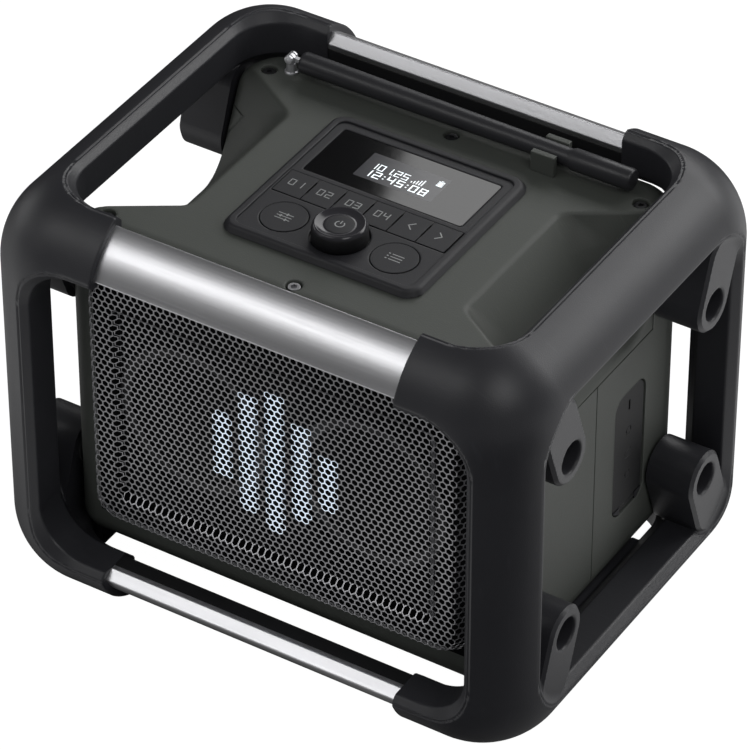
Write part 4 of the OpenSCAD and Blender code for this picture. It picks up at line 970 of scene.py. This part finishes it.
# screw heads with six-sided sockets, set on points by a node tree
screwTree, si, so = startGroup("screwsOnPoints", "GeometryNodeTree",
    {"Points": "Geometry", "Head": "Object", "Finish": "Material"}, {"Mesh": "Geometry"})
headInfo = put(screwTree, "GeometryNodeObjectInfo", {"Object": si["Head"]})
setOnPoints(screwTree, si, so, headInfo.outputs["Geometry"])

def screwHead(name, head, height, shank, grip, socket):
    steps = 36
    rings = lathe(((shank, -grip), (shank, 0), (head, 0), (head, height * 0.86), (head * 0.97, height * 0.96),
                   (head * 0.92, height)), (0, 0), steps)
    sixth = pi / 3
    sides = [(t, socket * cos(sixth / 2) / cos(t % sixth - sixth / 2))
             for t in np.linspace(0, 2 * pi, steps, endpoint=False)]
    rings += [[(r * cos(t), r * sin(t), z) for t, r in sides] for z in (height, height * 0.42)]
    template = bpy.data.objects.new(name, stacked(name, rings, 30))
    scene.collection.objects.link(template)
    return template

# size: head radius and height, shank radius, grip, socket
screwSets = {
    # the five top screws take the dark steel as painted shade; the front one is the bright steel copy of the same screw
    "topScrewHeads": {"node": "top_screws", "size": (3.4, 2.0, 1.9, 20, 1.5), "finish": "blackSteel",
                      "spots": [(x, y, 226.8) for x in (-113, 0, 113) for y in (-76, 76) if x or y > 0],
                      "turn": (0, 0, 0)},
    "frontScrewHead": {"node": None, "size": (3.4, 2.4, 1.9, 20, 1.9), "finish": "screwSteel",
                       "spots": [(0, -76, 226.8)], "turn": (0, 0, 0)},
    "doorScrewHeads": {"node": "door_screws", "size": (3.2, 1.0, 0.95, 3, 1.2), "finish": "blackSteel",
                       "spots": [(sx * 58.5, 101.5, 85 + sz * 32.5) for sx in (-1, 1) for sz in (-1, 1)],
                       "turn": (-pi / 2, 0, 0)},
    "shellScrewHeads": {"node": "shell_screws", "size": (3.4, 2.0, 1.9, 60, 1.5), "finish": "blackSteel",
                        "spots": [(sx * 111, 98.5, z) for sx in (-1, 1) for z in (42, 151)],
                        "turn": (-pi / 2, 0, 0)},
    "rightLugHeads": {"node": "lug_screws", "size": (4.5, 4.0, 2.5, 20, 2.0), "finish": "screwSteel",
                      "spots": [(140, sy * 72.8, 128 + sz * 57.5) for sy in (-1, 1) for sz in (-1, 1)],
                      "turn": (0, pi / 2, 0)},
    "leftLugHeads": {"node": None, "size": (4.5, 4.0, 2.5, 20, 2.0), "finish": "screwSteel",
                     "spots": [(-140, sy * 72.8, 128 + sz * 57.5) for sy in (-1, 1) for sz in (-1, 1)],
                     "turn": (0, -pi / 2, 0)},
}
for name, spec in screwSets.items():
    template = screwHead(name + "Head", *spec["size"])
    count = len(spec["spots"])
    made = runTree(name, screwTree, spec["spots"], [spec["turn"]] * count, [(1, 1, 1)] * count,
                   {"Head": template, "Finish": mats[spec["finish"]]})
    bpy.data.objects.remove(template)
    made.shade_smooth()
    made.set_sharp_from_angle(angle=radians(14))
    addPiece(name, made, spec["finish"], "housing", (spec["node"],) if spec["node"] else ())
print("screws done")
